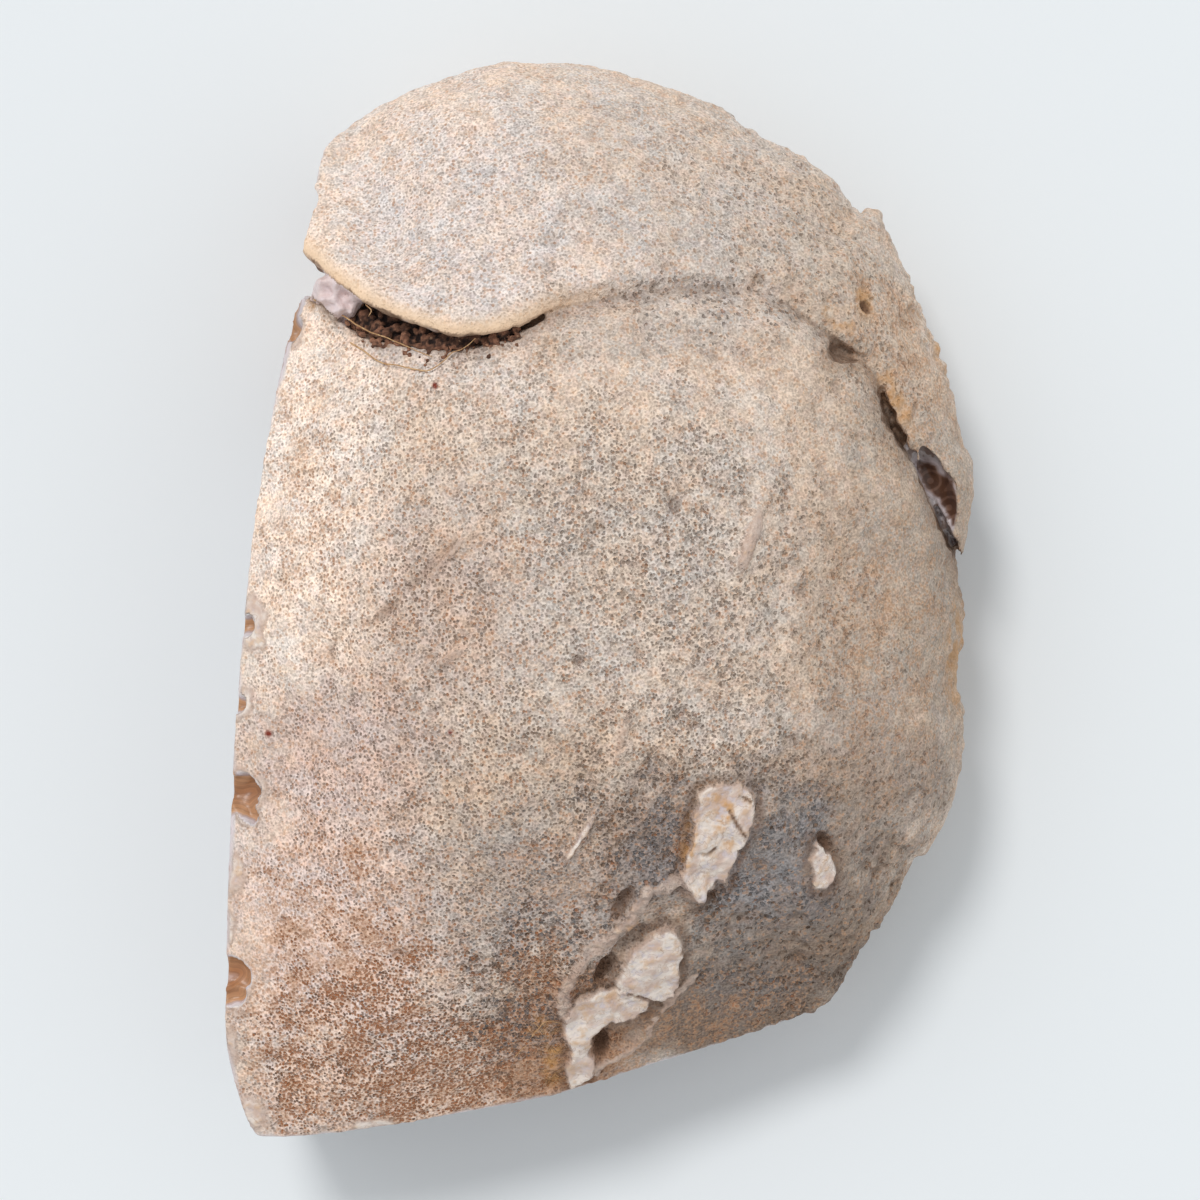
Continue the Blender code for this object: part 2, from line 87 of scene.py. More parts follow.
# The outline from above, anticlockwise from the lower right corner:
# x, y, height of the widest line or rim, inset of the base, and 1 where a saw made the flank.
OUTLINE = (
    (21.7, -37.0, 13.0, 4.0, 0.7),
    (24.2, -32.6, 12.0, 6.0, 0.0),
    (26.9, -28.9, 12.0, 6.5, 0.0),
    (29.1, -24.3, 12.0, 7.0, 0.0),
    (30.6, -23.3, 12.0, 7.0, 0.0),
    (32.8, -18.9, 12.0, 7.5, 0.0),
    (33.8, -14.3, 12.0, 7.5, 0.0),
    (33.7, -9.6, 12.0, 7.5, 0.0),
    (33.2, -7.5, 12.0, 7.5, 0.0),
    (33.9, -2.2, 12.0, 7.5, 0.0),
    (33.2, 3.4, 12.0, 7.5, 0.0),
    (33.9, 4.7, 12.0, 8.0, 0.0),
    (34.8, 10.2, 12.0, 8.0, 0.0),
    (34.6, 13.0, 12.0, 8.0, 0.0),
    (33.7, 14.7, 12.0, 7.5, 0.0),
    (32.6, 20.1, 12.0, 7.5, 0.0),
    (29.4, 28.1, 12.5, 7.5, 0.0),
    (26.4, 35.1, 13.0, 7.5, 0.0),
    (25.2, 36.2, 13.0, 7.5, 0.0),
    (23.7, 36.2, 13.0, 7.5, 0.0),
    (21.3, 39.4, 13.0, 7.5, 0.0),
    (18.6, 41.2, 13.0, 7.5, 0.0),
    (13.9, 43.7, 13.0, 7.5, 0.0),
    (10.0, 46.2, 13.0, 7.0, 0.0),
    (0.0, 49.4, 13.0, 6.5, 0.0),
    (-6.7, 49.8, 13.5, 6.5, 0.0),
    (-10.6, 49.5, 14.0, 6.5, 0.0),
    (-18.8, 46.5, 15.0, 6.0, 0.1),
    (-23.3, 43.4, 17.5, 5.5, 0.5),
    (-25.1, 41.3, 20.5, 5.0, 1.0),
    (-25.9, 37.8, 22.5, 5.0, 1.0),
    (-25.6, 36.5, 23.2, 5.0, 1.0),
    (-26.8, 31.6, 25.5, 5.0, 1.0),
    (-27.2, 27.2, 25.5, 5.0, 1.0),
    (-27.9, 25.2, 25.5, 5.0, 1.0),
    (-29.4, 17.8, 26.0, 5.0, 1.0),
    (-31.4, 4.7, 26.5, 4.5, 1.0),
    (-32.8, -10.0, 26.0, 4.5, 1.0),
    (-33.5, -21.4, 25.0, 4.0, 1.0),
    (-34.0, -33.2, 23.0, 4.0, 1.0),
    (-34.1, -40.2, 21.5, 4.0, 1.0),
    (-33.2, -44.8, 20.5, 3.5, 1.0),
    (-31.9, -48.4, 19.5, 3.5, 1.0),
    (-30.5, -49.2, 19.5, 3.0, 1.0),
    (-23.3, -48.7, 19.5, 3.0, 1.0),
    (-10.1, -46.7, 18.0, 3.0, 1.0),
    (-3.8, -45.5, 17.0, 3.0, 1.0),
    (0.5, -44.2, 16.5, 3.0, 1.0),
    (7.0, -42.3, 15.5, 3.0, 1.0),
    (15.2, -39.8, 14.0, 3.0, 1.0),
    (20.0, -38.0, 13.5, 3.0, 1.0),
)

# Lower edge of the upper lobe, from the left face to the right end: x, y, how far it stands above
# the lower body there, and the cleft below it: width, depth, and how far its foot runs in.
LIP = (
    (-35.5, 33.4, 3.0, 8.7, 24.0, 1.0),
    (-29.1, 32.2, 3.0, 5.4, 24.0, 1.0),
    (-26.8, 31.3, 3.0, 3.9, 20.0, 1.2),
    (-23.6, 28.4, 3.2, 2.5, 11.0, 1.8),
    (-19.5, 25.7, 3.4, 2.7, 8.0, 2.6),
    (-15.2, 24.1, 3.2, 1.8, 6.5, 2.4),
    (-12.4, 23.3, 2.8, 1.2, 5.0, 2.0),
    (-7.6, 24.0, 1.8, 0.9, 3.0, 1.2),
    (-3.5, 25.8, 0.9, 0.2, 0.8, 0.3),
    (1.9, 27.0, 0.5, 0.0, 0.0, 0.0),
    (8.9, 27.9, 0.2, 0.0, 0.0, 0.0),
    (15.3, 27.3, -0.3, 0.0, 0.0, 0.0),
    (19.9, 24.4, -0.8, 0.3, 1.5, 0.1),
    (21.9, 23.1, -1.1, 2.1, 4.6, 0.5),
    (24.5, 20.9, -1.4, 0.3, 3.0, 0.5),
    (26.6, 16.5, -1.6, 1.3, 6.5, 0.7),
    (29.0, 11.8, -1.8, 0.45, 8.0, 0.9),
    (31.2, 7.3, -1.8, 0.7, 9.0, 1.1),
    (33.4, 3.6, -1.8, 0.8, 9.0, 1.0),
    (36.4, -1.9, -1.5, 1.2, 9.0, 0.4),
)
LEFT_CLEFT = (0.0, 0.42)
RIGHT_CLEFT = (0.62, 1.0)
SOIL_CLEFT = (0.186, 0.37)
CLEFT_FOOT_SHARE = 0.45
CLEFT_CLEARANCE = 5.0
CLEFT_MARGIN = 0.4
CLEFT_SECTIONS = 260
CLEFT_ROUGHNESS = 0.22
STEP_REACH = 9.0
LIP_ROUNDING = 1.2
LIP_DROP = 0.8
LOBE_SHARE = 0.65
BODY_SHARE = 0.35
CLOSED_RAMP = 2.0
LEAST_RAMP = 0.02
OPEN_WIDTH = 1.2
VALLEY_DEPTH = 1.0
VALLEY_REACH = 1.3
OPEN_VALLEY = 0.25

# Broken end of the upper lobe: centre, half sizes, turn about Z in degrees
END_POCKET_PLACE = (30.7, 9.9)
END_POCKET_HALF = (2.0, 4.9, 2.7)
END_POCKET_TURN = 24.0
END_POCKET_DROP = 0.6
END_POCKET_MOUTH = (2.3, 5.3)
# The brown agate seen in it, and the middles of its rings
POCKET_FACE = (
    (29.2, 13.3), (30.6, 12.9), (31.6, 11.9), (32.6, 11.0), (33.0, 9.6), (33.2, 8.1), (32.9, 6.7),
    (32.3, 6.6), (31.8, 7.9), (31.2, 9.2), (29.8, 10.2), (29.4, 11.5), (28.9, 12.7),
)
POCKET_EYES = ((30.5, 11.0), (32.2, 8.5))
# Chalcedony that closes the left end of the cleft: centre, half sizes, how far below the rim
PLUG_PLACE = (-23.7, 27.2)
PLUG_HALF = (2.3, 2.5, 10.0)
PLUG_DROP = 0.3
PLUG_FLATNESS = 0.3
PLUG_TILT = 0.28

# Low ridges on the rind: start, end, height, half width and how bare the stone is on them
RIDGES = (
    ((14.4, 8.8), (11.9, 1.7), 0.8, 0.7, 0.55),
    ((2.9, -8.8), (1.1, -15.0), 0.5, 0.6, 0.3),
    ((-0.4, -18.8), (-3.6, -23.7), 0.8, 0.42, 0.9),
    ((-23.0, 17.7), (-24.0, 14.0), 0.5, 0.9, 0.1),
    ((-11.2, 6.2), (-15.4, 1.4), 0.5, 0.5, 0.35),
    ((-11.4, -3.9), (-14.7, -6.1), 0.5, 0.45, 0.35),
    ((6.0, -15.5), (3.6, -19.5), 0.3, 0.4, 0.2),
)
RIDGE_END_SHARE = 0.35
# A broken edge of pinkish crust above the large leaf, and a thin white rib below it
CRUST_EDGE = (
    (9.0, -26.3), (7.2, -25.0), (5.8, -25.4), (4.4, -25.9), (3.3, -27.3), (2.2, -28.9),
    (0.6, -30.2), (-1.0, -31.6), (-2.9, -34.3), (-3.3, -37.0),
)
THIN_RIB = ((8.8, -34.2), (6.6, -36.0), (5.5, -37.6), (4.3, -39.4), (3.3, -41.0), (0.2, -42.7), (-1.7, -44.2))
# Crumbly ribs: path, height, half width, how bare
CRUMBLY_RIBS = ((CRUST_EDGE, 0.7, 0.8, 0.5), (THIN_RIB, 0.4, 0.35, 0.45))
# A winding crease on the left of the lower body
CREASE = (
    (-12.7, 5.2), (-14.1, 3.7), (-16.0, 1.7), (-18.1, -0.2), (-19.9, -2.0), (-22.7, -2.2),
    (-23.9, -4.4), (-24.0, -6.7),
)
CREASE_DEPTH = 0.32
CREASE_HALF_WIDTH = 0.38
# Leaves of bare chalcedony where the rind has broken off: outline, height at the middle, and the
# way it tilts, in height for each millimetre across and along.
LEAVES = (
    (
        (
            (8.6, -17.2), (9.4, -16.6), (10.9, -16.2), (12.2, -16.3), (13.7, -17.1), (13.6, -18.3),
            (13.7, -19.7), (13.2, -21.1), (12.3, -22.3), (11.8, -24.0), (11.4, -25.6),
            (10.4, -25.3), (9.5, -26.4), (8.7, -27.2), (7.1, -24.6), (7.4, -23.4), (8.2, -21.7),
            (8.3, -19.3),
        ),
        0.35, 0.05, 0.0,
    ),
    (
        (
            (5.6, -29.3), (6.7, -29.4), (7.3, -30.7), (7.2, -33.1), (7.0, -34.9), (6.6, -35.8),
            (5.7, -36.5), (4.6, -36.0), (2.9, -35.5), (1.7, -35.5), (1.4, -34.6), (1.8, -33.5),
            (2.5, -32.0), (3.4, -31.2), (4.6, -30.0),
        ),
        0.65, 0.1, 0.03,
    ),
    (
        (
            (4.3, -37.4), (2.9, -38.1), (1.6, -38.3), (0.2, -38.9), (-0.9, -39.8), (-0.9, -41.3),
            (-0.4, -42.5), (-1.1, -44.0), (-2.7, -45.1), (-3.0, -43.1), (-2.9, -41.2),
            (-3.2, -39.5), (-3.4, -37.7), (-2.4, -36.5), (-0.9, -35.6), (0.3, -35.2), (1.5, -35.1),
            (2.9, -35.8), (4.4, -36.4),
        ),
        0.4, 0.0, 0.0,
    ),
    (
        (
            (19.3, -21.6), (20.3, -22.3), (21.1, -23.4), (21.0, -25.1), (20.5, -26.2),
            (19.6, -26.3), (19.2, -24.6), (19.1, -23.1),
        ),
        0.35, 0.08, 0.0,
    ),
)
# Cracks in the leaves: points along each
CRACKS = (
    ((11.0, -17.8), (11.6, -18.9), (12.2, -20.0), (13.0, -21.0)),
    ((8.7, -22.5), (9.5, -22.7), (10.3, -22.2)),
    ((12.0, -17.2), (12.7, -17.5), (13.3, -17.9)),
    ((2.0, -36.2), (3.4, -35.6), (4.6, -36.3)),
    ((-26.4, 27.5), (-25.2, 26.5), (-24.0, 25.6), (-22.6, 24.9)),
)
# Pits and broken hollows: centre, half sizes, turn in degrees, depth, brown stain
HOLLOWS = (
    ((0.5, -33.4), (0.9, 1.9), -28.0, 1.5, 0.9),
    ((2.7, -30.6), (0.8, 2.6), -42.0, 0.7, 0.5),
    ((2.2, -26.8), (0.8, 2.0), -30.0, 0.8, 0.7),
    ((0.2, -40.7), (0.9, 1.7), -12.0, 1.5, 1.0),
    ((2.6, -39.7), (1.6, 1.4), 0.0, 0.6, 0.15),
    ((20.4, -21.8), (0.7, 1.1), 30.0, 0.8, 0.9),
    ((7.5, -21.0), (0.7, 2.6), -8.0, 0.35, 0.35),
    ((9.9, -26.5), (0.8, 0.7), 0.0, 0.7, 0.8),
    ((-1.9, -5.3), (0.7, 0.7), 0.0, 0.5, 0.5),
    ((6.6, 8.3), (0.6, 0.9), 0.0, 0.4, 0.5),
    ((24.2, 26.6), (0.9, 0.5), -40.0, 0.6, 0.9),
    ((-18.1, -31.8), (0.8, 0.7), 0.0, 0.4, 0.3),
)
CHIP_DROP = 0.1
# Shell-shaped chips along the sawn left rim: centre, half sizes across and along, depth, turn
CHIPS = (
    ((-32.3, -17.4), (2.3, 1.7), 1.3, 12.0),
    ((-31.8, -19.0), (1.5, 1.0), 0.9, -35.0),
    ((-33.4, -34.0), (2.0, 1.6), 1.3, -10.0),
    ((-33.2, -36.0), (1.3, 0.9), 0.9, 25.0),
    ((-31.8, -2.3), (1.3, 0.9), 0.7, 20.0),
    ((-32.6, -9.4), (1.1, 0.8), 0.6, 0.0),
    ((-27.6, 24.4), (0.9, 1.2), 0.6, 0.0),
)
# Smooth lilac chalcedony along the sawn left rim: centre, half sizes, turn, strength
SMOOTH_RIM = (
    ((-31.8, -2.4), (2.0, 2.6), 0.0, 0.9),
    ((-32.7, -9.6), (1.3, 1.8), -30.0, 0.8),
    ((-32.6, -17.8), (3.2, 3.0), 0.0, 0.8),
    ((-33.6, -25.0), (1.6, 2.4), 0.0, 0.9),
    ((-33.9, -29.8), (1.4, 2.6), 0.0, 0.9),
    ((-33.4, -35.0), (2.6, 3.2), -20.0, 0.8),
    ((-33.6, -41.0), (1.0, 3.0), 0.0, 0.7),
    ((-31.6, -47.0), (1.4, 2.2), 30.0, 0.8),
    ((-21.0, -48.2), (2.4, 0.8), 0.0, 0.8),
    ((-27.9, 24.5), (1.2, 2.2), 0.0, 0.7),
)
# Uneven growth of the rind all over
LUMP_SIZE = 9.0
LUMP_HEIGHT = 0.55
KNOB_SIZE = 3.2
KNOB_HEIGHT = 0.3

# Fine surface
VOXEL = 0.2
SPOKES = 720
FLANK_RINGS = 30
CROWN_RINGS = 150
CROWN_RING_POWER = 1.8
LUMP_GRID = 0.3
SMOOTHING = 2
GRAIN_HEIGHT = 0.11
PIMPLE_HEIGHT = 0.15
DIMPLE_DEPTH = 0.34
PORE_DEPTH = 0.15
CRUST_HEIGHT = 0.6
LAYER_HEIGHT = 0.42

# Colours on the rind, as they look in the photograph's light: centre, half sizes, turn in degrees,
# colour and strength. Later rows lie over earlier ones.
CREAM = (0.75, 0.61, 0.50)
# The zones hold painted light and shade: lighter along the left edge and the upper left, darker on the right
# side and the lower right, over the rind's own creams and browns.
PAINTED_LIGHT_SHADE_AND_COLOUR_ZONES = (
    ((-12.0, 33.0), (22.0, 17.0), 0.0, (0.84, 0.72, 0.65), 0.85),
    ((10.0, 36.0), (20.0, 12.0), -25.0, (0.62, 0.53, 0.46), 0.8),
    ((25.0, 22.0), (9.0, 20.0), 20.0, (0.56, 0.44, 0.34), 0.8),
    ((2.0, 5.0), (22.0, 20.0), 0.0, (0.69, 0.58, 0.49), 0.75),
    ((-15.0, -1.0), (10.0, 12.0), 0.0, (0.62, 0.45, 0.36), 0.6),
    ((-27.0, 10.0), (9.0, 26.0), 0.0, (0.95, 0.79, 0.67), 0.95),
    ((-23.0, -14.0), (10.0, 8.0), 0.0, (0.60, 0.44, 0.375), 0.8),
    ((2.0, 24.0), (14.0, 3.5), 0.0, (0.60, 0.47, 0.37), 0.7),
    ((25.0, -4.0), (10.0, 22.0), 0.0, (0.49, 0.385, 0.30), 0.85),
    ((32.0, 0.0), (5.0, 22.0), 0.0, (0.44, 0.35, 0.275), 0.8),
    ((24.0, -17.0), (9.0, 9.0), 0.0, (0.39, 0.305, 0.25), 0.75),
    ((-24.0, -30.0), (14.0, 20.0), 0.0, (0.80, 0.62, 0.54), 0.9),
    ((-4.0, -19.0), (15.0, 9.0), 0.0, (0.58, 0.45, 0.35), 0.8),
    ((-4.0, -27.0), (14.0, 8.0), 0.0, (0.53, 0.42, 0.35), 0.85),
    ((18.0, -30.0), (16.0, 14.0), -30.0, (0.31, 0.235, 0.18), 0.95),
    ((14.0, -24.0), (10.0, 8.0), -20.0, (0.25, 0.205, 0.185), 0.95),
    ((5.0, -22.0), (6.0, 7.0), 0.0, (0.28, 0.20, 0.16), 0.9),
    ((12.0, -37.0), (16.0, 7.0), 15.0, (0.20, 0.145, 0.11), 0.95),
    ((-18.0, -46.0), (20.0, 6.0), 0.0, (0.78, 0.60, 0.50), 0.9),
    ((-3.5, -40.0), (8.0, 9.0), 0.0, (0.36, 0.22, 0.15), 0.95),
)
# Rusty grains: centre, half sizes, turn, strength
RUST = (
    ((-24.0, -36.0), (13.0, 16.0), 0.0, 0.85),
    ((-12.0, -44.0), (20.0, 7.0), 0.0, 1.0),
    ((-29.0, -27.0), (3.5, 8.0), 0.0, 0.6),
    ((-26.0, 10.0), (5.0, 16.0), 10.0, 0.35),
    ((25.0, -4.0), (8.0, 14.0), 0.0, 0.45),
    ((27.0, 22.0), (5.0, 14.0), 25.0, 0.5),
    ((-3.0, -24.0), (8.0, 6.0), 0.0, 0.35),
    ((-5.0, -36.0), (5.0, 8.0), 0.0, 0.8),
    ((7.5, -21.0), (1.5, 4.0), 0.0, 0.7),
    ((-7.0, 4.9), (3.0, 0.9), 0.0, 0.9),
    ((-2.0, -43.0), (9.0, 4.0), 0.0, 0.9),
    ((10.0, -38.0), (12.0, 4.0), 17.0, 0.5),
)
# Blue-grey grains of bare quartz: centre, half sizes, turn, strength
SLATE = (
    ((14.5, -23.0), (7.0, 8.0), -15.0, 0.9),
    ((5.0, -22.0), (5.0, 7.0), 0.0, 0.8),
    ((-4.0, -25.0), (12.0, 9.0), 0.0, 0.5),
    ((-12.0, 33.0), (12.0, 7.0), 0.0, 0.45),
    ((-15.0, 27.0), (7.0, 3.0), -20.0, 0.4),
    ((12.0, -33.0), (8.0, 6.0), 0.0, 0.5),
    ((2.0, 0.0), (16.0, 14.0), 0.0, 0.15),
    ((-6.0, -38.0), (6.0, 5.0), 0.0, 0.5),
    ((10.0, 25.0), (10.0, 4.0), 0.0, 0.4),
)
# Where pores are wide and deep: centre, half sizes, turn, strength
PORES = (
    ((14.0, -4.0), (16.0, 24.0), 15.0, 0.7),
    ((20.0, -20.0), (14.0, 14.0), 0.0, 0.75),
    ((16.0, 34.0), (16.0, 8.0), -35.0, 0.7),
    ((10.0, 26.0), (14.0, 4.0), 0.0, 0.9),
    ((25.0, 22.0), (6.0, 12.0), 20.0, 0.7),
    ((2.0, -20.0), (8.0, 8.0), 0.0, 0.8),
    ((-10.0, 20.0), (8.0, 4.0), 0.0, 0.4),
    ((0.0, 8.0), (12.0, 10.0), 0.0, 0.45),
    ((-14.0, -42.0), (14.0, 5.0), 0.0, 0.5),
    ((-5.0, -36.0), (9.0, 11.0), 0.0, 1.1),
    ((17.0, -30.0), (14.0, 11.0), -20.0, 1.2),
    ((3.0, -22.0), (9.0, 8.0), 0.0, 1.0),
)
# Where small pits crowd: centre, half sizes, turn, strength
PITTED = (
    ((-14.0, -22.0), (24.0, 34.0), 0.0, 1.0),
    ((-19.0, -40.0), (20.0, 15.0), 0.0, 1.35),
    ((-5.0, -36.0), (10.0, 14.0), 0.0, 1.25),
    ((3.0, -20.0), (10.0, 8.0), 0.0, 1.1),
    ((-18.0, 8.0), (16.0, 22.0), 0.0, 0.8),
    ((-15.0, -1.0), (9.0, 10.0), 0.0, 1.05),
    ((0.0, 4.0), (20.0, 22.0), 0.0, 0.85),
    ((6.0, -18.0), (16.0, 18.0), 0.0, 0.95),
    ((-12.0, 34.0), (20.0, 20.0), 0.0, 0.55),
    ((8.0, 36.0), (16.0, 12.0), -20.0, 0.35),
    ((14.0, -38.0), (18.0, 8.0), 0.0, 0.6),
)
LEAST_PITTED = 0.2
# Knobbly crust: centre, half sizes, turn, strength
CRUST = (
    ((31.5, 24.5), (3.0, 9.0), 22.0, 1.0),
    ((24.8, 34.8), (4.0, 4.0), 0.0, 0.8),
    ((33.5, -6.0), (2.5, 11.0), 0.0, 0.7),
    ((28.5, 17.0), (2.0, 4.0), 20.0, 0.6),
    ((18.0, 41.0), (9.0, 2.5), -30.0, 0.5),
    ((24.0, -32.0), (3.0, 6.0), -30.0, 0.6),
    ((8.0, -41.5), (16.0, 2.0), 17.0, 0.6),
    ((13.0, -33.0), (15.0, 8.0), 10.0, 0.4),
    ((-5.0, -37.0), (6.0, 8.0), 0.0, 0.4),
    ((-16.0, -46.5), (18.0, 2.0), 6.0, 0.45),
)
# Ochre stain: centre, half sizes, turn, strength
OCHRE = (
    ((11.0, -19.1), (0.9, 1.9), -20.0, 1.0),
    ((11.6, -21.4), (0.8, 1.3), 0.0, 0.8),
    ((9.6, -17.5), (1.5, 0.8), 20.0, 0.7),
    ((8.0, -21.0), (0.7, 3.0), -8.0, 0.9),
    ((2.9, -28.9), (0.7, 0.9), 0.0, 1.0),
    ((0.3, -36.2), (2.4, 0.5), 15.0, 0.5),
    ((-4.3, -41.5), (1.3, 3.2), 0.0, 0.9),
    ((-5.5, -38.6), (1.4, 1.2), 0.0, 0.7),
    ((-1.6, -40.0), (1.0, 0.7), 0.0, 0.5),
    ((27.0, 17.5), (1.4, 3.6), 18.0, 0.8),
    ((21.5, 25.2), (2.2, 1.0), -35.0, 0.8),
    ((31.8, 24.0), (1.6, 7.0), 22.0, 0.7),
    ((33.2, -5.0), (1.4, 6.0), 0.0, 0.6),
    ((24.0, 27.0), (1.2, 1.6), 0.0, 0.7),
    ((-25.6, 26.9), (0.9, 1.2), -30.0, 0.8),
)
# Red specks: centre and radius
SPECKS = (
    ((-29.8, -12.0), 0.3),
    ((-13.2, -11.7), 0.16),
    ((-14.6, 19.0), 0.22),
)

# Rootlets: points over the stone as x, y and how far above the rind, and the radius
ROOTLETS = (
    (
        (
            (-25.8, 27.1, 0.3), (-24.5, 26.0, 0.5), (-22.9, 25.4, 0.4), (-21.1, 24.2, 0.3),
            (-19.4, 23.5, 0.35), (-16.9, 22.4, 0.25), (-14.9, 21.6, 0.1),
        ),
        0.075,
    ),
    (
        (
            (-22.3, 23.1, 0.1), (-21.2, 22.3, 0.25), (-19.6, 21.2, 0.35), (-17.9, 20.8, 0.4),
            (-15.4, 20.3, 0.35), (-14.4, 20.7, 0.4), (-13.2, 21.8, 0.45), (-12.2, 22.2, 0.3),
            (-11.0, 23.1, -0.4),
        ),
        0.07,
    ),
    (((-20.9, 26.3, -0.8), (-20.3, 25.7, 0.1), (-20.6, 25.2, -0.2)), 0.05),
    (((-6.2, -39.7, 0.1), (-5.5, -38.8, 0.35), (-4.8, -38.2, 0.4), (-3.6, -38.4, 0.2)), 0.05),
    (((-6.0, -38.3, 0.2), (-5.5, -38.8, 0.35), (-5.0, -39.5, 0.15)), 0.04),
    (((-7.8, -41.7, 0.1), (-7.2, -41.0, 0.3), (-6.7, -40.6, 0.15)), 0.05),
)

# The soil in the cleft: a lumpy wedge, clods grown into it, and crumbs on the lower lip
SOIL_GAP = -0.15
SOIL_DEPTH = 1.35
SOIL_FOOT_SHARE = 0.72
SOIL_SECTIONS = 60
CLODS = 190
CLOD_RADIUS = (0.3, 0.75)
CLOD_REACH = 1.0
CLOD_SQUASH = (0.7, 1.25)
CRUMBS = 110
CRUMB_RADIUS = (0.12, 0.28)
SOIL_VOXEL = 0.13
SOIL_GAP_ROUNDS = 14
SOIL_GAP_DEPTH = 0.12

# How finely the base, the rootlets and the agate's depth are worked out
BASE_SPACING = 0.9
RIND_STEP = 9
TUBE_SIDES = 8
TUBE_STEP = 0.25

# Spacing of the rind's pits
FINE_SPACING = 0.27
WIDE_SPACING = 0.62

# Colours of pits: their own browns, rust and slate, darker than the grains also as painted shade in the pits
DARK_PIT_AND_SHADE = (0.14, 0.075, 0.04)
BROWN_PIT = (0.27, 0.12, 0.06)
RUSTY_PIT = (0.37, 0.135, 0.052)
SLATE_PIT = (0.13, 0.125, 0.13)

# Least share of rusty pits, and how crowded the pits usually are
USUAL_PITTED = 0.8
LEAST_RUSTY = 0.16

# Tints of single grains and of patches of the rind
ORANGE_TINT = (1.02, 0.97, 0.92)
BLUE_TINT = (0.96, 0.985, 1.01)
PINK_TINT = (1.0, 0.96, 0.96)
WARM_TINT = (1.03, 0.99, 0.95)
COOL_TINT = (0.97, 1.0, 1.03)
# The last tint lightens the walls between the pits: the pale grains, and painted light on them
PALE_AND_LIT_WALL = (1.2, 1.2, 1.2)

# Colours of the bare chalcedony
PLUG_COLOUR = (0.78, 0.635, 0.635)
LEAF_EDGE = (0.46, 0.30, 0.22)
BARE_TAN = (0.67, 0.49, 0.40)
BARE_CREAM = (0.88, 0.76, 0.67)
BARE_LILAC = (0.66, 0.58, 0.60)
BARE_YELLOW = (0.72, 0.46, 0.26)
VEIN_COLOUR = (0.42, 0.24, 0.14)

# Colours of the ground, the lip, stains with painted shade in the clefts, specks and cracks
RUSTY_GROUND = (0.60, 0.33, 0.18)
SLATE_GROUND = (0.42, 0.42, 0.43)
LIP_COLOUR = (0.95, 0.67, 0.44)
OCHRE_COLOUR = (0.66, 0.33, 0.10)
STAIN_AND_SHADE_COLOUR = (0.15, 0.075, 0.04)
SPECK_COLOUR = (0.22, 0.03, 0.012)
CRACK_COLOUR = (0.20, 0.10, 0.05)

# Colours of the end pocket
CHOCOLATE = (0.075, 0.032, 0.02)
POCKET_STAIN = (0.17, 0.085, 0.05)
EYE_RING = (0.20, 0.11, 0.08)

# How far the bands reach, and the spacing of the fine bands in them and about the pocket's eyes
AGATE_DEPTH = 24.0
FINE_BAND = 0.46
FINER_BAND = 0.19
EYE_BAND = 0.75
# Bands of the agate: how deep under the rind in millimetres, and the colour
AGATE_BANDS = (
    (0.0, (0.62, 0.52, 0.45)),
    (0.2, (0.72, 0.66, 0.65)),
    (0.7, (0.58, 0.49, 0.50)),
    (1.0, (0.50, 0.26, 0.13)),
    (2.6, (0.36, 0.15, 0.06)),
    (3.2, (0.55, 0.44, 0.42)),
    (3.7, (0.62, 0.57, 0.57)),
    (4.3, (0.28, 0.15, 0.09)),
    (6.5, (0.20, 0.10, 0.06)),
    (7.4, (0.46, 0.38, 0.37)),
    (9.0, (0.33, 0.27, 0.27)),
    (11.0, (0.16, 0.09, 0.06)),
    (13.0, (0.38, 0.31, 0.30)),
    (17.0, (0.50, 0.46, 0.47)),
    (24.0, (0.42, 0.38, 0.39)),
)

# Roughness of the rind, the bare chalcedony and the cut agate
RIND_ROUGHNESS = 0.86
BARE_ROUGHNESS = 0.5
AGATE_ROUGHNESS = 0.34

# Colours of the soil and the rootlets
SOIL_DARK = (0.13, 0.055, 0.032)
SOIL_LIGHT = (0.31, 0.145, 0.085)
SOIL_BIT = (0.46, 0.28, 0.17)
SOIL_SHADE = (0.018, 0.008, 0.006)
ROOT_DARK = (0.42, 0.22, 0.09)
ROOT_LIGHT = (0.66, 0.42, 0.21)

# The photograph's view and light
CAMERA_HEIGHT = 0.4316
LENS = 135.0
KEY_TOWARDS = 119.0
KEY_HEIGHT = 58.0
KEY_SPREAD = 15.0
KEY_STRENGTH = 1.2
SIDE_TOWARDS = 140.0
SIDE_HEIGHT = 35.0
SIDE_SPREAD = 40.0
SIDE_STRENGTH = 0.15
SKY = (0.93, 0.97, 1.0)
SKY_STRENGTH = 0.66
FLOOR_COLOUR = (0.848, 0.87, 0.88)
FLOOR_SIZE = 4.0


def smooth_step(value):
    value = np.clip(value, 0.0, 1.0)
    return value * value * (3.0 - 2.0 * value)


def spline(rows, shares, closed=False):
    """Catmull-Rom points at shares of the way, from 0 to 1, along the rows of numbers."""
    rows = np.array(rows, float)
    spans = len(rows) if closed else len(rows) - 1
    place = np.atleast_1d(shares) * spans
    span = np.clip(place.astype(int), 0, spans - 1)
    t = (place - span)[:, None]

    def row(offset):
        index = span + offset
        return rows[index % spans] if closed else rows[np.clip(index, 0, spans)]

    a, b, c, d = (row(offset) for offset in (-1, 0, 1, 2))
    square, cube = 2 * a - 5 * b + 4 * c - d, 3 * b - a - 3 * c + d
    return 0.5 * (2 * b + (c - a) * t + square * t ** 2 + cube * t ** 3)


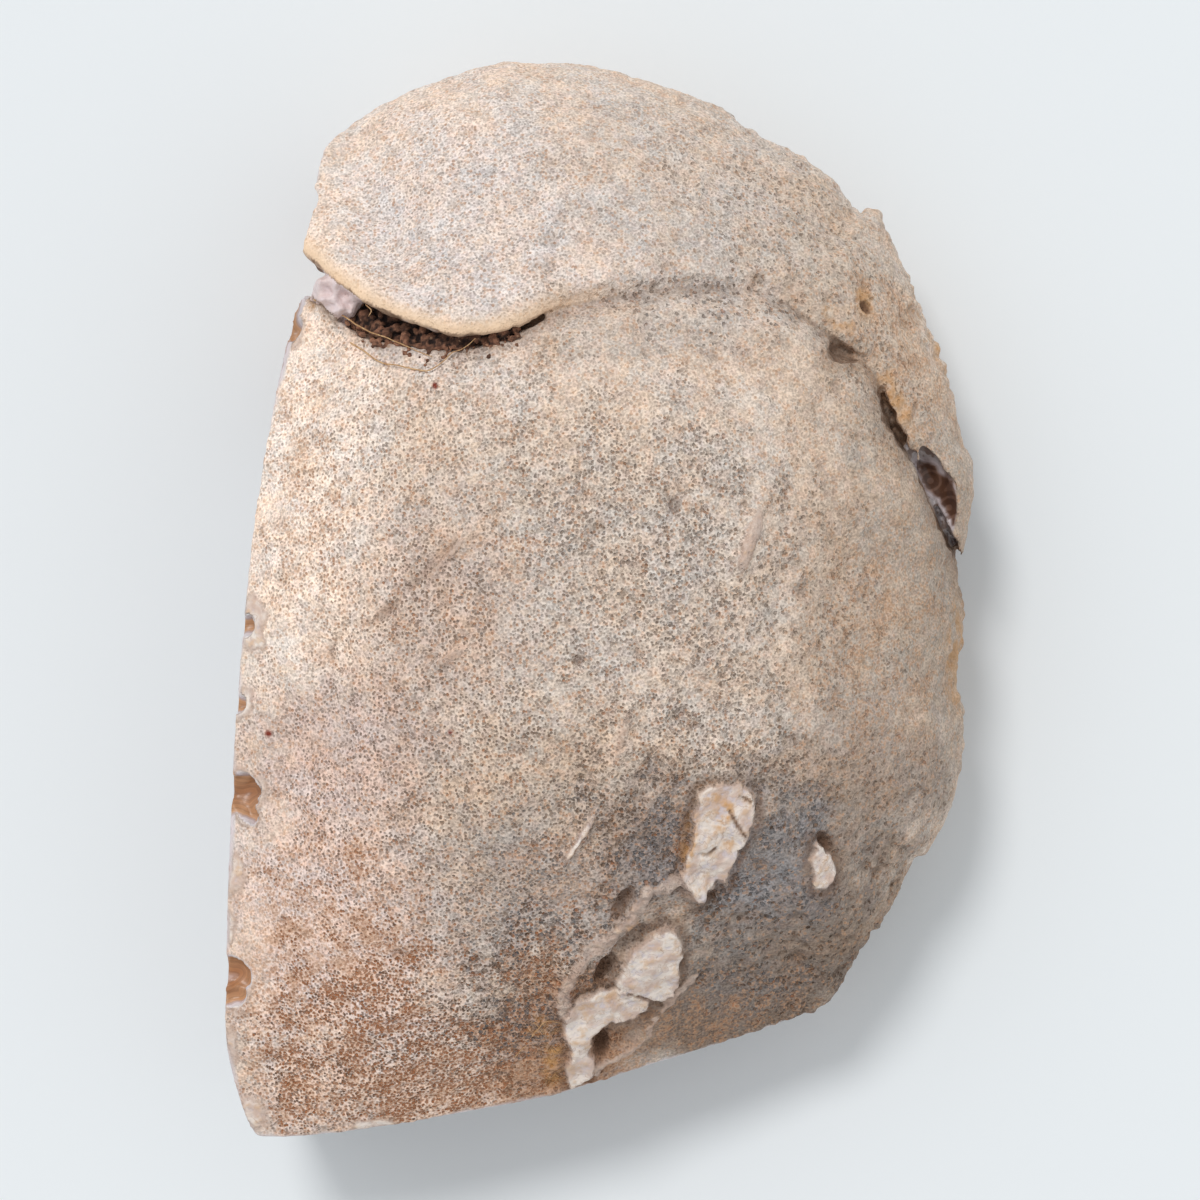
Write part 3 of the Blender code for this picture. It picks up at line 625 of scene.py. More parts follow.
class Scatter:
    """Repeatable random rows, one for each cell of a lattice."""

    SIZE = 4096

    def __init__(self, seed):
        numbers = np.random.default_rng(seed)
        self.order = numbers.permutation(self.SIZE).astype(np.int32)
        slopes = numbers.normal(size=(self.SIZE, 3))
        self.slopes = (slopes / np.linalg.norm(slopes, axis=1)[:, None]).astype(np.float32)
        self.spots = numbers.random((self.SIZE, 3)).astype(np.float32)
        self.shift = numbers.random(3) * 50.0

    def index(self, cells):
        last = self.SIZE - 1
        first = self.order[cells[:, 0] & last]
        second = self.order[(first + cells[:, 1]) & last]
        return self.order[(second + cells[:, 2]) & last]

    def place(self, points, size):
        spot = points / size + self.shift
        cell = np.floor(spot).astype(np.int32)
        return cell, (spot - cell).astype(np.float32)


def gradient_noise(points, size, seed):
    """Smooth noise from about -1 to 1, with bumps of about this size."""
    scatter = Scatter(seed)
    cell, inside = scatter.place(points, size)
    fade = inside ** 3 * (inside * (inside * 6.0 - 15.0) + 10.0)
    total = np.zeros(len(points), np.float32)
    for corner in itertools.product((0, 1), repeat=3):
        slope = scatter.slopes[scatter.index(cell + np.array(corner, np.int32))]
        reach = ((inside - np.array(corner, np.float32)) * slope).sum(1)
        total += reach * np.where(corner, fade, 1.0 - fade).prod(1)
    return total * 1.7


def cell_noise(points, size, seed):
    """Distance to the nearest scattered spot as a share of size, and a random number of that spot."""
    scatter = Scatter(seed)
    cell, inside = scatter.place(points, size)
    nearest = np.full(len(points), 9.0, np.float32)
    chance = np.zeros(len(points), np.float32)
    for offset in itertools.product((-1, 0, 1), repeat=3):
        index = scatter.index(cell + np.array(offset, np.int32))
        away = np.array(offset, np.float32) + scatter.spots[index] - inside
        away = np.sqrt((away * away).sum(1))
        closer = away < nearest
        nearest[closer] = away[closer]
        chance[closer] = scatter.spots[index[closer], 0]
    return nearest, chance


class Outline:
    """The stone's outline from above, by direction from the middle."""

    def __init__(self):
        count = len(OUTLINE) * 10
        rows = spline(OUTLINE, np.arange(count) / count, closed=True)
        angle = np.arctan2(rows[:, 1], rows[:, 0]) % math.tau
        order = np.argsort(angle)
        self.angle = angle[order]
        reach = np.hypot(rows[:, 0], rows[:, 1])[order]
        apart = np.abs(self.angle[:, None] - self.angle[None])
        apart = np.minimum(apart, math.tau - apart) / BROAD_SPREAD
        weight = np.exp(-apart * apart)
        broad = (weight * reach).sum(1) / weight.sum(1)
        self.columns = [reach, broad, *rows[order, 2:].T]

    def at(self, angle):
        """Reach, broad reach, rim height, inset of the base and sawn share in these directions."""
        return [np.interp(angle, self.angle, column, period=math.tau) for column in self.columns]


OUTLINE_ROUND = Outline()
LIP_POINTS = spline(LIP, np.linspace(0.0, 1.0, 191))


def beside_lip(x, y):
    """Distance from the lip, positive on the upper lobe, the lip's stand and the cleft's width."""
    line = LIP_POINTS[:, :2].astype(np.float32)
    best = np.empty(len(x), int)
    for start in range(0, len(x), 40000):
        part = slice(start, start + 40000)
        far = (x[part, None] - line[:, 0]) ** 2 + (y[part, None] - line[:, 1]) ** 2
        best[part] = far.argmin(1)
    nearest, side, share = np.full(len(x), 1e9), np.ones(len(x)), np.zeros(len(x))
    for offset in (-1, 0):
        first = np.clip(best + offset, 0, len(line) - 2)
        ax, ay = LIP_POINTS[first, 0], LIP_POINTS[first, 1]
        bx, by = LIP_POINTS[first + 1, 0] - ax, LIP_POINTS[first + 1, 1] - ay
        along = np.clip(((x - ax) * bx + (y - ay) * by) / (bx * bx + by * by), 0.0, 1.0)
        far = np.hypot(x - ax - bx * along, y - ay - by * along)
        closer = far < nearest
        nearest = np.where(closer, far, nearest)
        side = np.where(closer, np.sign(bx * (y - ay) - by * (x - ax)), side)
        share = np.where(closer, first + along, share)
    rows = np.arange(len(LIP_POINTS))
    stand = np.interp(share, rows, LIP_POINTS[:, 2])
    width = np.maximum(np.interp(share, rows, LIP_POINTS[:, 3]), 0.0)
    return nearest * side, stand, width


def beside_path(x, y, path):
    """Distance from a broken line, and the share of the way along the nearest of its pieces."""
    nearest, share = np.full(len(x), 1e9), np.zeros(len(x))
    for (ax, ay), (bx, by) in zip(path, path[1:]):
        length = (bx - ax) ** 2 + (by - ay) ** 2
        along = np.clip(((x - ax) * (bx - ax) + (y - ay) * (by - ay)) / length, 0.0, 1.0)
        far = np.hypot(x - ax - (bx - ax) * along, y - ay - (by - ay) * along)
        share = np.where(far < nearest, along, share)
        nearest = np.minimum(nearest, far)
    return nearest, share


def in_oval(x, y, centre, half, turn):
    """Distance from an oval's centre, as a share of the way to its rim."""
    cosine, sine = math.cos(math.radians(turn)), math.sin(math.radians(turn))
    dx, dy = x - centre[0], y - centre[1]
    return np.hypot((dx * cosine + dy * sine) / half[0], (dy * cosine - dx * sine) / half[1])


def inside_shape(x, y, corners):
    """Distance inside a closed outline, negative outside it."""
    path = [*corners, corners[0]]
    far = beside_path(x, y, path)[0]
    inside = np.zeros(len(x), bool)
    for (ax, ay), (bx, by) in zip(path, path[1:]):
        if ay != by:
            crossing = (ay > y) != (by > y)
            inside ^= crossing & (x < (bx - ax) * (y - ay) / (by - ay) + ax)
    return np.where(inside, far, -far)


def lobe_step(x, y):
    """The two lobes round off towards the cleft where they meet, and one stands above the other."""
    away, stand, width = beside_lip(x, y)
    past_middle = away + width / 2.0
    ramp = np.maximum(CLOSED_RAMP - width, LEAST_RAMP)
    on_lobe = smooth_step(past_middle / ramp + 0.5)
    from_edge = np.maximum(np.where(past_middle > 0.0, away, -away - width), 0.0)
    fade = 1.0 - smooth_step(from_edge / STEP_REACH)
    height = (LOBE_SHARE * on_lobe - BODY_SHARE * (1.0 - on_lobe)) * stand * fade
    closed = 1.0 - smooth_step(width / OPEN_WIDTH)
    height -= on_lobe * LIP_DROP * np.maximum(1.0 - np.maximum(away, 0.0) / LIP_ROUNDING, 0.0) ** 2
    valley = VALLEY_DEPTH * (OPEN_VALLEY + (1.0 - OPEN_VALLEY) * closed)
    return height - valley * np.exp(-((from_edge / VALLEY_REACH) ** 2))


def plain_crown(x, y, share, rim, sawn):
    """The rind's height without lobes and lumps, and how much of those it takes on."""
    crown = CROWN_HEIGHT
    crown -= CROWN_FALL_ACROSS * (x - CROWN_PLACE[0]) ** 2
    crown -= CROWN_FALL_ALONG * (y - CROWN_PLACE[1]) ** 2
    natural = np.sqrt(np.maximum(1.0 - share ** RIND_SHOULDER, 0.0))
    rise = natural + (1.0 - share ** SAWN_SHOULDER - natural) * sawn
    settle = sawn + (1.0 - sawn) * smooth_step((1.0 - share) / RIM_SETTLING)
    return rim + (crown - rim) * rise, settle


def share_out(x, y):
    """Share of the way from the middle to the rim, the rim's height and the sawn share."""
    reach, broad, rim, _, sawn = OUTLINE_ROUND.at(np.arctan2(y, x) % math.tau)
    far = np.hypot(x, y)
    share = np.minimum(far / reach, 1.0)
    for _ in range(4):
        share = np.clip((far - (reach - broad) * share ** RIM_DETAIL_POWER) / broad, 0.0, 1.0)
    return share, rim, sawn


def lump_grid():
    """Heights of the lumps and knobs on a square grid over the stone, with the grid's x and y."""
    across = np.arange(CAD_BOX[0].x / MM - 3.0, CAD_BOX[1].x / MM + 3.0, LUMP_GRID)
    along = np.arange(CAD_BOX[0].y / MM - 3.0, CAD_BOX[1].y / MM + 3.0, LUMP_GRID)
    x, y = (part.ravel() for part in np.meshgrid(across, along))
    share, rim, sawn = share_out(x, y)
    z = plain_crown(x, y, share, rim, sawn)[0]
    start = Vector((3.1, 7.7, 1.3))
    heights = [
        LUMP_HEIGHT * noise.noise(Vector(point) / LUMP_SIZE + start)
        + KNOB_HEIGHT * noise.noise(Vector(point) / KNOB_SIZE)
        for point in zip(x, y, z)
    ]
    return across, along, np.array(heights).reshape(len(along), len(across))


LUMPS = lump_grid()


def lumps(x, y):
    across, along, heights = LUMPS
    i = np.clip((x - across[0]) / LUMP_GRID, 0, len(across) - 1.001)
    j = np.clip((y - along[0]) / LUMP_GRID, 0, len(along) - 1.001)
    left, low = i.astype(int), j.astype(int)
    u, v = smooth_step(i - left), smooth_step(j - low)
    bottom = heights[low, left] * (1 - u) + heights[low, left + 1] * u
    top = heights[low + 1, left] * (1 - u) + heights[low + 1, left + 1] * u
    return bottom * (1 - v) + top * v


def crown_height(x, y, share, rim, sawn):
    plain, settle = plain_crown(x, y, share, rim, sawn)
    return plain + settle * (lobe_step(x, y) + lumps(x, y))


def rind_height(x, y):
    x, y = np.atleast_1d(x).astype(float), np.atleast_1d(y).astype(float)
    return crown_height(x, y, *share_out(x, y))


def mesh_object(name, points, faces):
    """An object in the scene from points in its own units and rows of three or four corners."""
    mesh = bpy.data.meshes.new(name)
    mesh.from_pydata(np.asarray(points).tolist(), [], [list(face) for face in faces])
    made = bpy.data.objects.new(name, mesh)
    bpy.context.scene.collection.objects.link(made)
    return made


def discard(piece):
    mesh = piece.data
    bpy.data.objects.remove(piece)
    bpy.data.meshes.remove(mesh)


def loft_faces(rings, spokes):
    """Four-cornered faces between rings of points, and a face across each end."""
    lower = (np.arange(rings - 1)[:, None] * spokes + np.arange(spokes)).ravel()
    after = (np.arange(rings - 1)[:, None] * spokes + (np.arange(spokes) + 1) % spokes).ravel()
    sides = np.stack([lower, after, after + spokes, lower + spokes], 1).tolist()
    first = list(range(spokes))[::-1]
    last = list(range((rings - 1) * spokes, rings * spokes))
    return [*sides, first, last]


def nodule():
    """The whole nodule before the clefts are opened, in rings of points from the base to the crown."""
    angle = np.arange(SPOKES) / SPOKES * math.tau
    reach, broad, rim, inset, sawn = OUTLINE_ROUND.at(angle)
    cosine, sine = np.cos(angle), np.sin(angle)
    rings = []
    for step in range(FLANK_RINGS):
        share = step / FLANK_RINGS
        power = RIND_INSET_POWER + (1.0 - RIND_INSET_POWER) * sawn
        detail = sawn + (1.0 - sawn) * share ** FLANK_DETAIL_POWER
        turned = np.stack([cosine, sine, np.full(SPOKES, share * 0.4)], 1) * broad[:, None] / LUMP_SIZE
        swell = np.array([noise.noise(Vector(point)) for point in turned])
        swell *= FLANK_SWELL * (1.0 - sawn) * math.sin(math.pi * share)
        out = broad + (reach - broad) * detail - inset * (1.0 - share) ** power + swell
        rings.append(np.stack([out * cosine, out * sine, (rim + SAW_ALLOWANCE) * share - SAW_ALLOWANCE], 1))
    for step in range(CROWN_RINGS):
        share = np.full(SPOKES, 1.0 - (step / CROWN_RINGS) ** CROWN_RING_POWER)
        out = broad * share + (reach - broad) * share ** RIM_DETAIL_POWER
        x, y = out * cosine, out * sine
        rings.append(np.stack([x, y, crown_height(x, y, share, rim, sawn)], 1))
    return mesh_object("nodule", np.concatenate(rings), loft_faces(len(rings), SPOKES))


class Cleft:
    """Places along a stretch of the cleft: middles, side directions and the lower body's height."""

    def __init__(self, start, end, count):
        share = np.linspace(start, end, count)
        rows = spline(LIP, share)
        run = spline(LIP, np.minimum(share + 0.005, 1.0)) - spline(LIP, np.maximum(share - 0.005, 0.0))
        run = run[:, :2] / np.linalg.norm(run[:, :2], axis=1)[:, None]
        self.side = np.stack([-run[:, 1], run[:, 0]], 1)
        self.width = np.maximum(rows[:, 3], 0.15)
        self.depth = np.maximum(rows[:, 4], 0.4)
        self.under = rows[:, 5]
        self.middle = rows[:, :2] - self.side * self.width[:, None] / 2.0
        edge = self.middle - self.side * (self.width / 2.0 + CLEFT_MARGIN)[:, None]
        self.top = rind_height(edge[:, 0], edge[:, 1])

    def walls(self, down):
        """Where the cleft's two walls are, down being the share of the way to its foot."""
        half = self.width / 2.0
        upper = min(down / 0.5, 1.0)
        lower = max(down / 0.5 - 1.0, 0.0)
        near = -half + (half * 0.3 + self.under * 0.3) * upper
        far = half + self.under * 0.6 * upper
        foot = half * CLEFT_FOOT_SHARE
        return near + (self.under - foot - near) * lower, far + (self.under + foot - far) * lower

    def points(self, profile):
        """Points in rings, from a profile of places across and up."""
        rings = [
            np.concatenate([self.middle + self.side * across[:, None], (self.top + up)[:, None]], 1)
            for across, up in profile
        ]
        return np.stack(rings, 1).reshape(-1, 3)


def roughened(points, size, height, seed):
    """Points pushed about by smooth noise."""
    push = [gradient_noise(points, size, seed + axis) for axis in range(3)]
    return points + height * np.stack(push, 1)


def cleft_cutter(name, start, end, seed):
    place = Cleft(start, end, CLEFT_SECTIONS)
    sides = [(place.walls(down), -down * place.depth) for down in (0.0, 0.12, 0.3, 0.5, 0.75, 1.0)]
    sides.insert(0, (place.walls(0.0), np.full(CLEFT_SECTIONS, CLEFT_CLEARANCE)))
    profile = [(near, up) for (near, far), up in sides]
    profile += [(far, up) for (near, far), up in reversed(sides)]
    points = place.points(profile)
    points = roughened(points, 1.1, CLEFT_ROUGHNESS, seed)
    points = roughened(points, 0.5, CLEFT_ROUGHNESS * 0.4, seed + 3)
    return mesh_object(name, points, loft_faces(CLEFT_SECTIONS, len(profile)))


def hollow(place, half, turn, drop, seed):
    """Where the points of a ball go, to cut a broken hollow or to fill one."""
    angle = math.radians(turn)
    middle = rind_height(*place)[0] - drop

    def points_of(points):
        rough = 1.0 + 0.16 * gradient_noise(points, 0.5, seed) + 0.05 * gradient_noise(points, 0.2, seed + 1)
        wide, long, high = (points * np.array(half) * rough[:, None]).T
        x = place[0] + wide * math.cos(angle) - long * math.sin(angle)
        y = place[1] + wide * math.sin(angle) + long * math.cos(angle)
        return np.stack([x, y, middle + high], 1)

    return points_of


def ball(points_of, name, detail):
    """A closed ball whose points a function puts in place."""
    made = bpy.data.meshes.new(name)
    piece = bpy.data.objects.new(name, made)
    bpy.context.scene.collection.objects.link(piece)
    shape = bmesh.new()
    bmesh.ops.create_icosphere(shape, subdivisions=detail, radius=1.0)
    shape.to_mesh(made)
    shape.free()
    points = np.empty(len(made.vertices) * 3)
    made.vertices.foreach_get("co", points)
    made.vertices.foreach_set("co", points_of(points.reshape(-1, 3)).ravel())
    made.update()
    return piece


def plug_filling():
    """The chalcedony between the lips: a ball drawn out to steep sides and a flat top."""
    in_place = hollow(PLUG_PLACE, PLUG_HALF, 0.0, PLUG_HALF[2] + PLUG_DROP, 57)

    def points_of(points):
        steep = np.sign(points[:, 2]) * np.abs(points[:, 2]) ** PLUG_FLATNESS
        placed = in_place(np.stack([points[:, 0], points[:, 1], steep], 1))
        placed[:, 2] += (placed[:, 0] - PLUG_PLACE[0]) * PLUG_TILT
        return placed

    return ball(points_of, "plug", 5)


def chip_cutters():
    return [
        ball(hollow(place, (*half, deep), turn, CHIP_DROP, 200 + 7 * number), f"chip_{number}", 4)
        for number, (place, half, deep, turn) in enumerate(CHIPS)
    ]


def turned_out(piece):
    """Faces of a closed mesh all facing outwards."""
    shape = bmesh.new()
    shape.from_mesh(piece.data)
    bmesh.ops.recalc_face_normals(shape, faces=shape.faces)
    shape.to_mesh(piece.data)
    shape.free()
    return piece


def carved(stone, cutters, filling):
    """The stone's mesh without the cutters and with the filling, evened into small square faces."""
    turned_out(stone)
    for tool in (*cutters, filling):
        turned_out(tool)
        step = stone.modifiers.new(tool.name, "BOOLEAN")
        step.operation = "UNION" if tool is filling else "DIFFERENCE"
        step.solver = "MANIFOLD"
        step.object = tool
    points, faces = evened(stone, VOXEL)
    for piece in (stone, *cutters, filling):
        discard(piece)
    return points, faces


def evened(piece, size):
    """Points and faces of an object with its modifiers applied, evened into small square faces."""
    even = piece.modifiers.new("even_faces", "REMESH")
    even.mode = "VOXEL"
    even.voxel_size = size
    graph = bpy.context.evaluated_depsgraph_get()
    mesh = piece.evaluated_get(graph).to_mesh()
    points = np.empty(len(mesh.vertices) * 3)
    mesh.vertices.foreach_get("co", points)
    faces = np.empty(len(mesh.loops), np.int32)
    mesh.loops.foreach_get("vertex_index", faces)
    piece.evaluated_get(graph).to_mesh_clear()
    return points.reshape(-1, 3), faces.reshape(-1, 4)


def used_only(points, faces):
    """Points that some face uses, the faces numbered for them, and which points were kept."""
    kept, numbers = np.unique(faces, return_inverse=True)
    return points[kept], numbers.reshape(faces.shape), kept


def neighbour_pairs(faces):
    ends = np.concatenate([np.stack([faces[:, k], faces[:, (k + 1) % 4]], 1) for k in range(4)])
    ends.sort(axis=1)
    return ends


def smoothed(points, faces, rounds, fixed):
    """Points moved halfway to the mean of their neighbours, except fixed ones."""
    pairs = neighbour_pairs(faces)
    one, two = pairs[:, 0], pairs[:, 1]
    size = len(points)
    count = np.bincount(one, minlength=size) + np.bincount(two, minlength=size)
    for _ in range(rounds):
        sums = [
            np.bincount(one, points[two, axis], size) + np.bincount(two, points[one, axis], size)
            for axis in range(3)
        ]
        mean = np.stack(sums, 1) / count[:, None]
        points = np.where(fixed[:, None], points, points * 0.5 + mean * 0.5)
    return points


def point_normals(points, faces):
    """Outward direction at each point of a mesh of four-cornered faces."""
    a, b, c, d = (points[faces[:, k]] for k in range(4))
    across = np.cross(c - a, d - b)
    normals = np.stack(
        [sum(np.bincount(faces[:, k], across[:, axis], len(points)) for k in range(4)) for axis in range(3)],
        1,
    )
    return normals / np.maximum(np.linalg.norm(normals, axis=1), 1e-9)[:, None]


def rim_loop(faces):
    """Points along the open edge of a mesh, in order, as its longest loop."""
    ends = np.concatenate([np.stack([faces[:, k], faces[:, (k + 1) % 4]], 1) for k in range(4)])
    lowest = ends.min(1).astype(np.int64) * (ends.max() + 1) + ends.max(1)
    _, first, count = np.unique(lowest, return_index=True, return_counts=True)
    after = dict(ends[first[count == 1]].tolist())
    loops = []
    while after:
        start, step = after.popitem()
        loop = [start]
        while step != start and step in after:
            loop.append(step)
            step = after.pop(step)
        loops.append(loop)
    return max(loops, key=len)


def blobs(x, y, rows, edge):
    """Strength of the strongest of several soft-edged ovals."""
    found = np.zeros(len(x))
    for centre, half, turn, strength in rows:
        out = in_oval(x, y, centre, half, turn) + edge
        found = np.maximum(found, strength * (1.0 - smooth_step((out - 0.35) / 0.85)))
    return found


def in_layers(points, size, seed):
    """Noise in flat steps with short slopes between them, like split layers."""
    level = gradient_noise(points, size, seed) * 3.5
    step = np.floor(level)
    return (step + smooth_step((level - step - 0.7) / 0.3)) / 3.5


class Surface:
    """What each point of the stone's surface is: its masks, and how far it moves out."""

    def __init__(self, points, normals):
        self.points, self.normals = points, normals
        x, y, z = points.T
        self.x, self.y = x, y
        share, rim, sawn = share_out(x, y)
        depth = crown_height(x, y, share, rim, sawn) - z
        reach, _, _, inset, _ = OUTLINE_ROUND.at(np.arctan2(y, x) % math.tau)
        inside_flank = reach - inset * (1.0 - np.clip(z / rim, 0.0, 1.0)) - np.hypot(x, y)
        self.away, _, self.width = beside_lip(x, y)
        self.wobble = gradient_noise(points, 3.5, 5) * 0.5 + gradient_noise(points, 1.2, 6) * 0.3
        self.fray = gradient_noise(points, 0.7, 7) * 0.12 + gradient_noise(points, 1.8, 8) * 0.15
        in_cleft = (self.away > -self.width - 0.7) & (self.away < 4.0) & (depth > 0.3) & (share < 0.995)
        below_rim = smooth_step((rim - z) / 0.5 + 0.5)
        self.plug = self.in_plug(depth)
        self.plug_look = self.plug * smooth_step((8.0 - depth) / 4.0)
        flank = below_rim * (inside_flank < SAWN_SKIN)
        self.cut = np.clip(flank * smooth_step((sawn - 0.3) / 0.4), 0.0, 1.0) * (1.0 - self.plug)
        self.cut[(z < 0.3) & (normals[:, 2] < -0.5)] = 1.0
        # How far down the clefts a point lies, for the brown stain and the painted shade there
        self.cleft = np.where(in_cleft, smooth_step((depth - 0.3) / 0.8), 0.0) * (1.0 - self.plug)
        pocket = in_oval(x, y, END_POCKET_PLACE, END_POCKET_MOUTH, END_POCKET_TURN)
        self.pocket = np.where(pocket < 1.0, smooth_step((depth - 0.35) / 0.3), 0.0) * (z > 6.0)
        self.pocket *= smooth_step(self.away / 0.3)
        self.chip = self.in_chips(z)
        self.rind = (1.0 - self.cut) * (1.0 - self.pocket) * (1.0 - self.chip)
        self.out = np.zeros(len(x))
        self.bare = np.maximum(self.plug, blobs(x, y, SMOOTH_RIM, self.wobble * 0.8))
        self.stain = np.zeros(len(x))
        self.crack = np.zeros(len(x))
        self.top = self.rind * (depth < 1.5) * (z > rim - 0.5)
        self.shape_leaves()
        self.shape_ridges()
        self.shape_hollows()

    def in_ball(self, z, place, half, turn, drop):
        """How far out a point is in a ball-shaped hollow, as a share of the way to its wall."""
        flat = in_oval(self.x, self.y, place, half[:2], turn)
        return np.hypot(flat, (z - rind_height(*place)[0] + drop) / half[2])

    def in_plug(self, depth):
        out = in_oval(self.x, self.y, PLUG_PLACE, PLUG_HALF[:2], 0.0)
        below_lip = (self.away < 0.05) | ((self.away < 1.0) & (depth > 0.8))
        between_lips = below_lip & (self.away > -self.width - 0.05)
        return smooth_step((1.15 - out) / 0.1) * between_lips

    def in_chips(self, z):
        found = np.zeros(len(z))
        for place, half, deep, turn in CHIPS:
            out = self.in_ball(z, place, (*half, deep), turn, CHIP_DROP) + self.fray * 0.5
            found = np.maximum(found, smooth_step((1.2 - out) / 0.12))
        return found

    def shape_leaves(self):
        x, y = self.x, self.y
        layers = LAYER_HEIGHT * in_layers(self.points, 2.4, 15)
        for corners, high, across, along in LEAVES:
            middle = np.mean(corners, axis=0)
            near = np.hypot(x - middle[0], y - middle[1]) < 9.0
            inside = inside_shape(x[near], y[near], corners) + self.fray[near] * 1.8
            slope = 1.0 + (x[near] - middle[0]) * across + (y[near] - middle[1]) * along
            rise = high * slope + layers[near]
            self.out[near] += self.top[near] * rise * smooth_step(inside / 0.3 + 0.4)
            bare = smooth_step(inside / 0.8 + 0.42)
            self.bare[near] = np.maximum(self.bare[near], bare * self.top[near])
            skirt = np.exp(-((inside + 0.45) / 0.5) ** 2) * 0.6
            self.stain[near] = np.maximum(self.stain[near], skirt * self.top[near] * (1.0 - bare))
        for path in CRACKS:
            away = beside_path(x, y, path)[0] + self.fray * 0.9
            line = np.exp(-((away / 0.11) ** 2)) * self.top * smooth_step(0.75 + self.wobble * 1.5)
            self.out -= 0.25 * line
            self.crack = np.maximum(self.crack, line)

    def shape_ridges(self):
        x, y = self.x, self.y
        for start, end, high, half, bare in RIDGES:
            away, share = beside_path(x, y, (start, end))
            fall = RIDGE_END_SHARE + (1.0 - RIDGE_END_SHARE) * np.sin(np.pi * share)
            form = fall * np.exp(-((away + self.fray) / half) ** 2) * self.top
            self.out += high * form
            self.bare = np.maximum(self.bare, bare * smooth_step(form * 1.6 - 0.4))
        crumbs = gradient_noise(self.points, 0.6, 18)
        for path, high, half, bare in CRUMBLY_RIBS:
            away = beside_path(x, y, path)[0]
            form = np.exp(-((away + self.fray * 2.2) / half) ** 2) * self.top
            self.out += high * form * (0.8 + 1.4 * self.fray + 0.5 * crumbs)
            self.bare = np.maximum(self.bare, bare * smooth_step(form * 1.6 - 0.35 - self.fray))
        away = beside_path(x, y, CREASE)[0]
        groove = np.exp(-((away + self.fray) / CREASE_HALF_WIDTH) ** 2) * self.top
        groove *= smooth_step(0.6 + self.wobble * 1.2)
        self.out -= CREASE_DEPTH * groove
        self.stain = np.maximum(self.stain, 0.5 * groove)

    def shape_hollows(self):
        for centre, half, turn, deep, stain in HOLLOWS:
            out = in_oval(self.x, self.y, centre, half, turn) + self.fray * 1.6
            form = np.maximum(1.0 - out ** 2, 0.0) * self.top
            self.out -= deep * form
            self.stain = np.maximum(self.stain, stain * smooth_step(form * 1.6))
            self.bare = self.bare * (1.0 - smooth_step(form * 2.5))

    def moved(self):
        """The points with ridges, leaves, hollows, crust, lumps of grain and pores."""
        points = self.points + self.normals * self.out[:, None]
        rough = self.rind * (1.0 - 0.8 * self.bare)
        edge = self.wobble
        self.porous = blobs(self.x, self.y, PORES, edge)
        grain = gradient_noise(points, 0.62, 11)
        pimples = gradient_noise(points, 1.5, 12)
        near, chance = cell_noise(points, 0.95, 13)
        open_pore = smooth_step((0.42 - near) / 0.3) * (chance < 0.25 + 0.6 * self.porous)
        self.pore = open_pore * rough
        dimple, chance = cell_noise(points, 3.6, 14)
        dimple = smooth_step((0.36 - dimple) / 0.3) * chance
        self.pore = np.maximum(self.pore, 0.8 * smooth_step(dimple * 2.0 - 0.6) * rough)
        crust = blobs(self.x, self.y, CRUST, edge)
        knobs = 1.0 - smooth_step(cell_noise(points, 1.5, 17)[0] / 0.75)
        high = GRAIN_HEIGHT * grain * (0.7 + 0.6 * self.porous) + PIMPLE_HEIGHT * pimples
        high -= PORE_DEPTH * open_pore * (0.4 + 0.8 * self.porous)
        high -= DIMPLE_DEPTH * dimple
        high += CRUST_HEIGHT * crust * (knobs - 0.4)
        return points + self.normals * (high * rough)[:, None]

    def ground(self):
        """The rind's colour, with painted light on the left and painted shade on the right and the lower
        right.
        """
        ground = np.tile(np.array(CREAM), (len(self.x), 1))
        for centre, half, turn, colour, strength in PAINTED_LIGHT_SHADE_AND_COLOUR_ZONES:
            out = in_oval(self.x, self.y, centre, half, turn) + self.wobble * 0.5
            share = strength * (1.0 - smooth_step((out - 0.3) / 1.0))
            ground += (np.array(colour) - ground) * share[:, None]
        return ground

    def specks(self):
        found = np.zeros(len(self.x))
        for (sx, sy), radius in SPECKS:
            away = np.hypot(self.x - sx, self.y - sy) + self.fray
            found = np.maximum(found, smooth_step((radius - away) / 0.2 + 0.5))
        return found * self.top

    def stain_and_shade(self):
        """Brown over the rind: stain in the clefts with painted shade that darkens them below the rim, a
        darker band along the closed part of the lip, and stain below the soil.
        """
        gap = np.maximum(np.abs(self.away + self.width / 2) - self.width / 2, 0.0)
        below = (self.away < 0.2) * self.rind
        # Darker in a band along the lip, on the lower body's side
        valley = np.exp(-((gap / 0.9) ** 2)) * 0.4 * below
        soiled = np.exp(-((gap / 0.7) ** 2)) * smooth_step((-8.0 - self.x) / 4.0) * below
        soiled *= smooth_step(0.55 + self.fray * 3.5)
        # Painted shade with the brown stain: the cleft walls darken as soon as they fall below the rim, a
        # little less to the right
        inside = self.cleft * (0.9 - 0.08 * smooth_step(self.x / 8.0))
        return np.maximum.reduce([self.stain, inside, valley, soiled * 0.9]) * self.rind

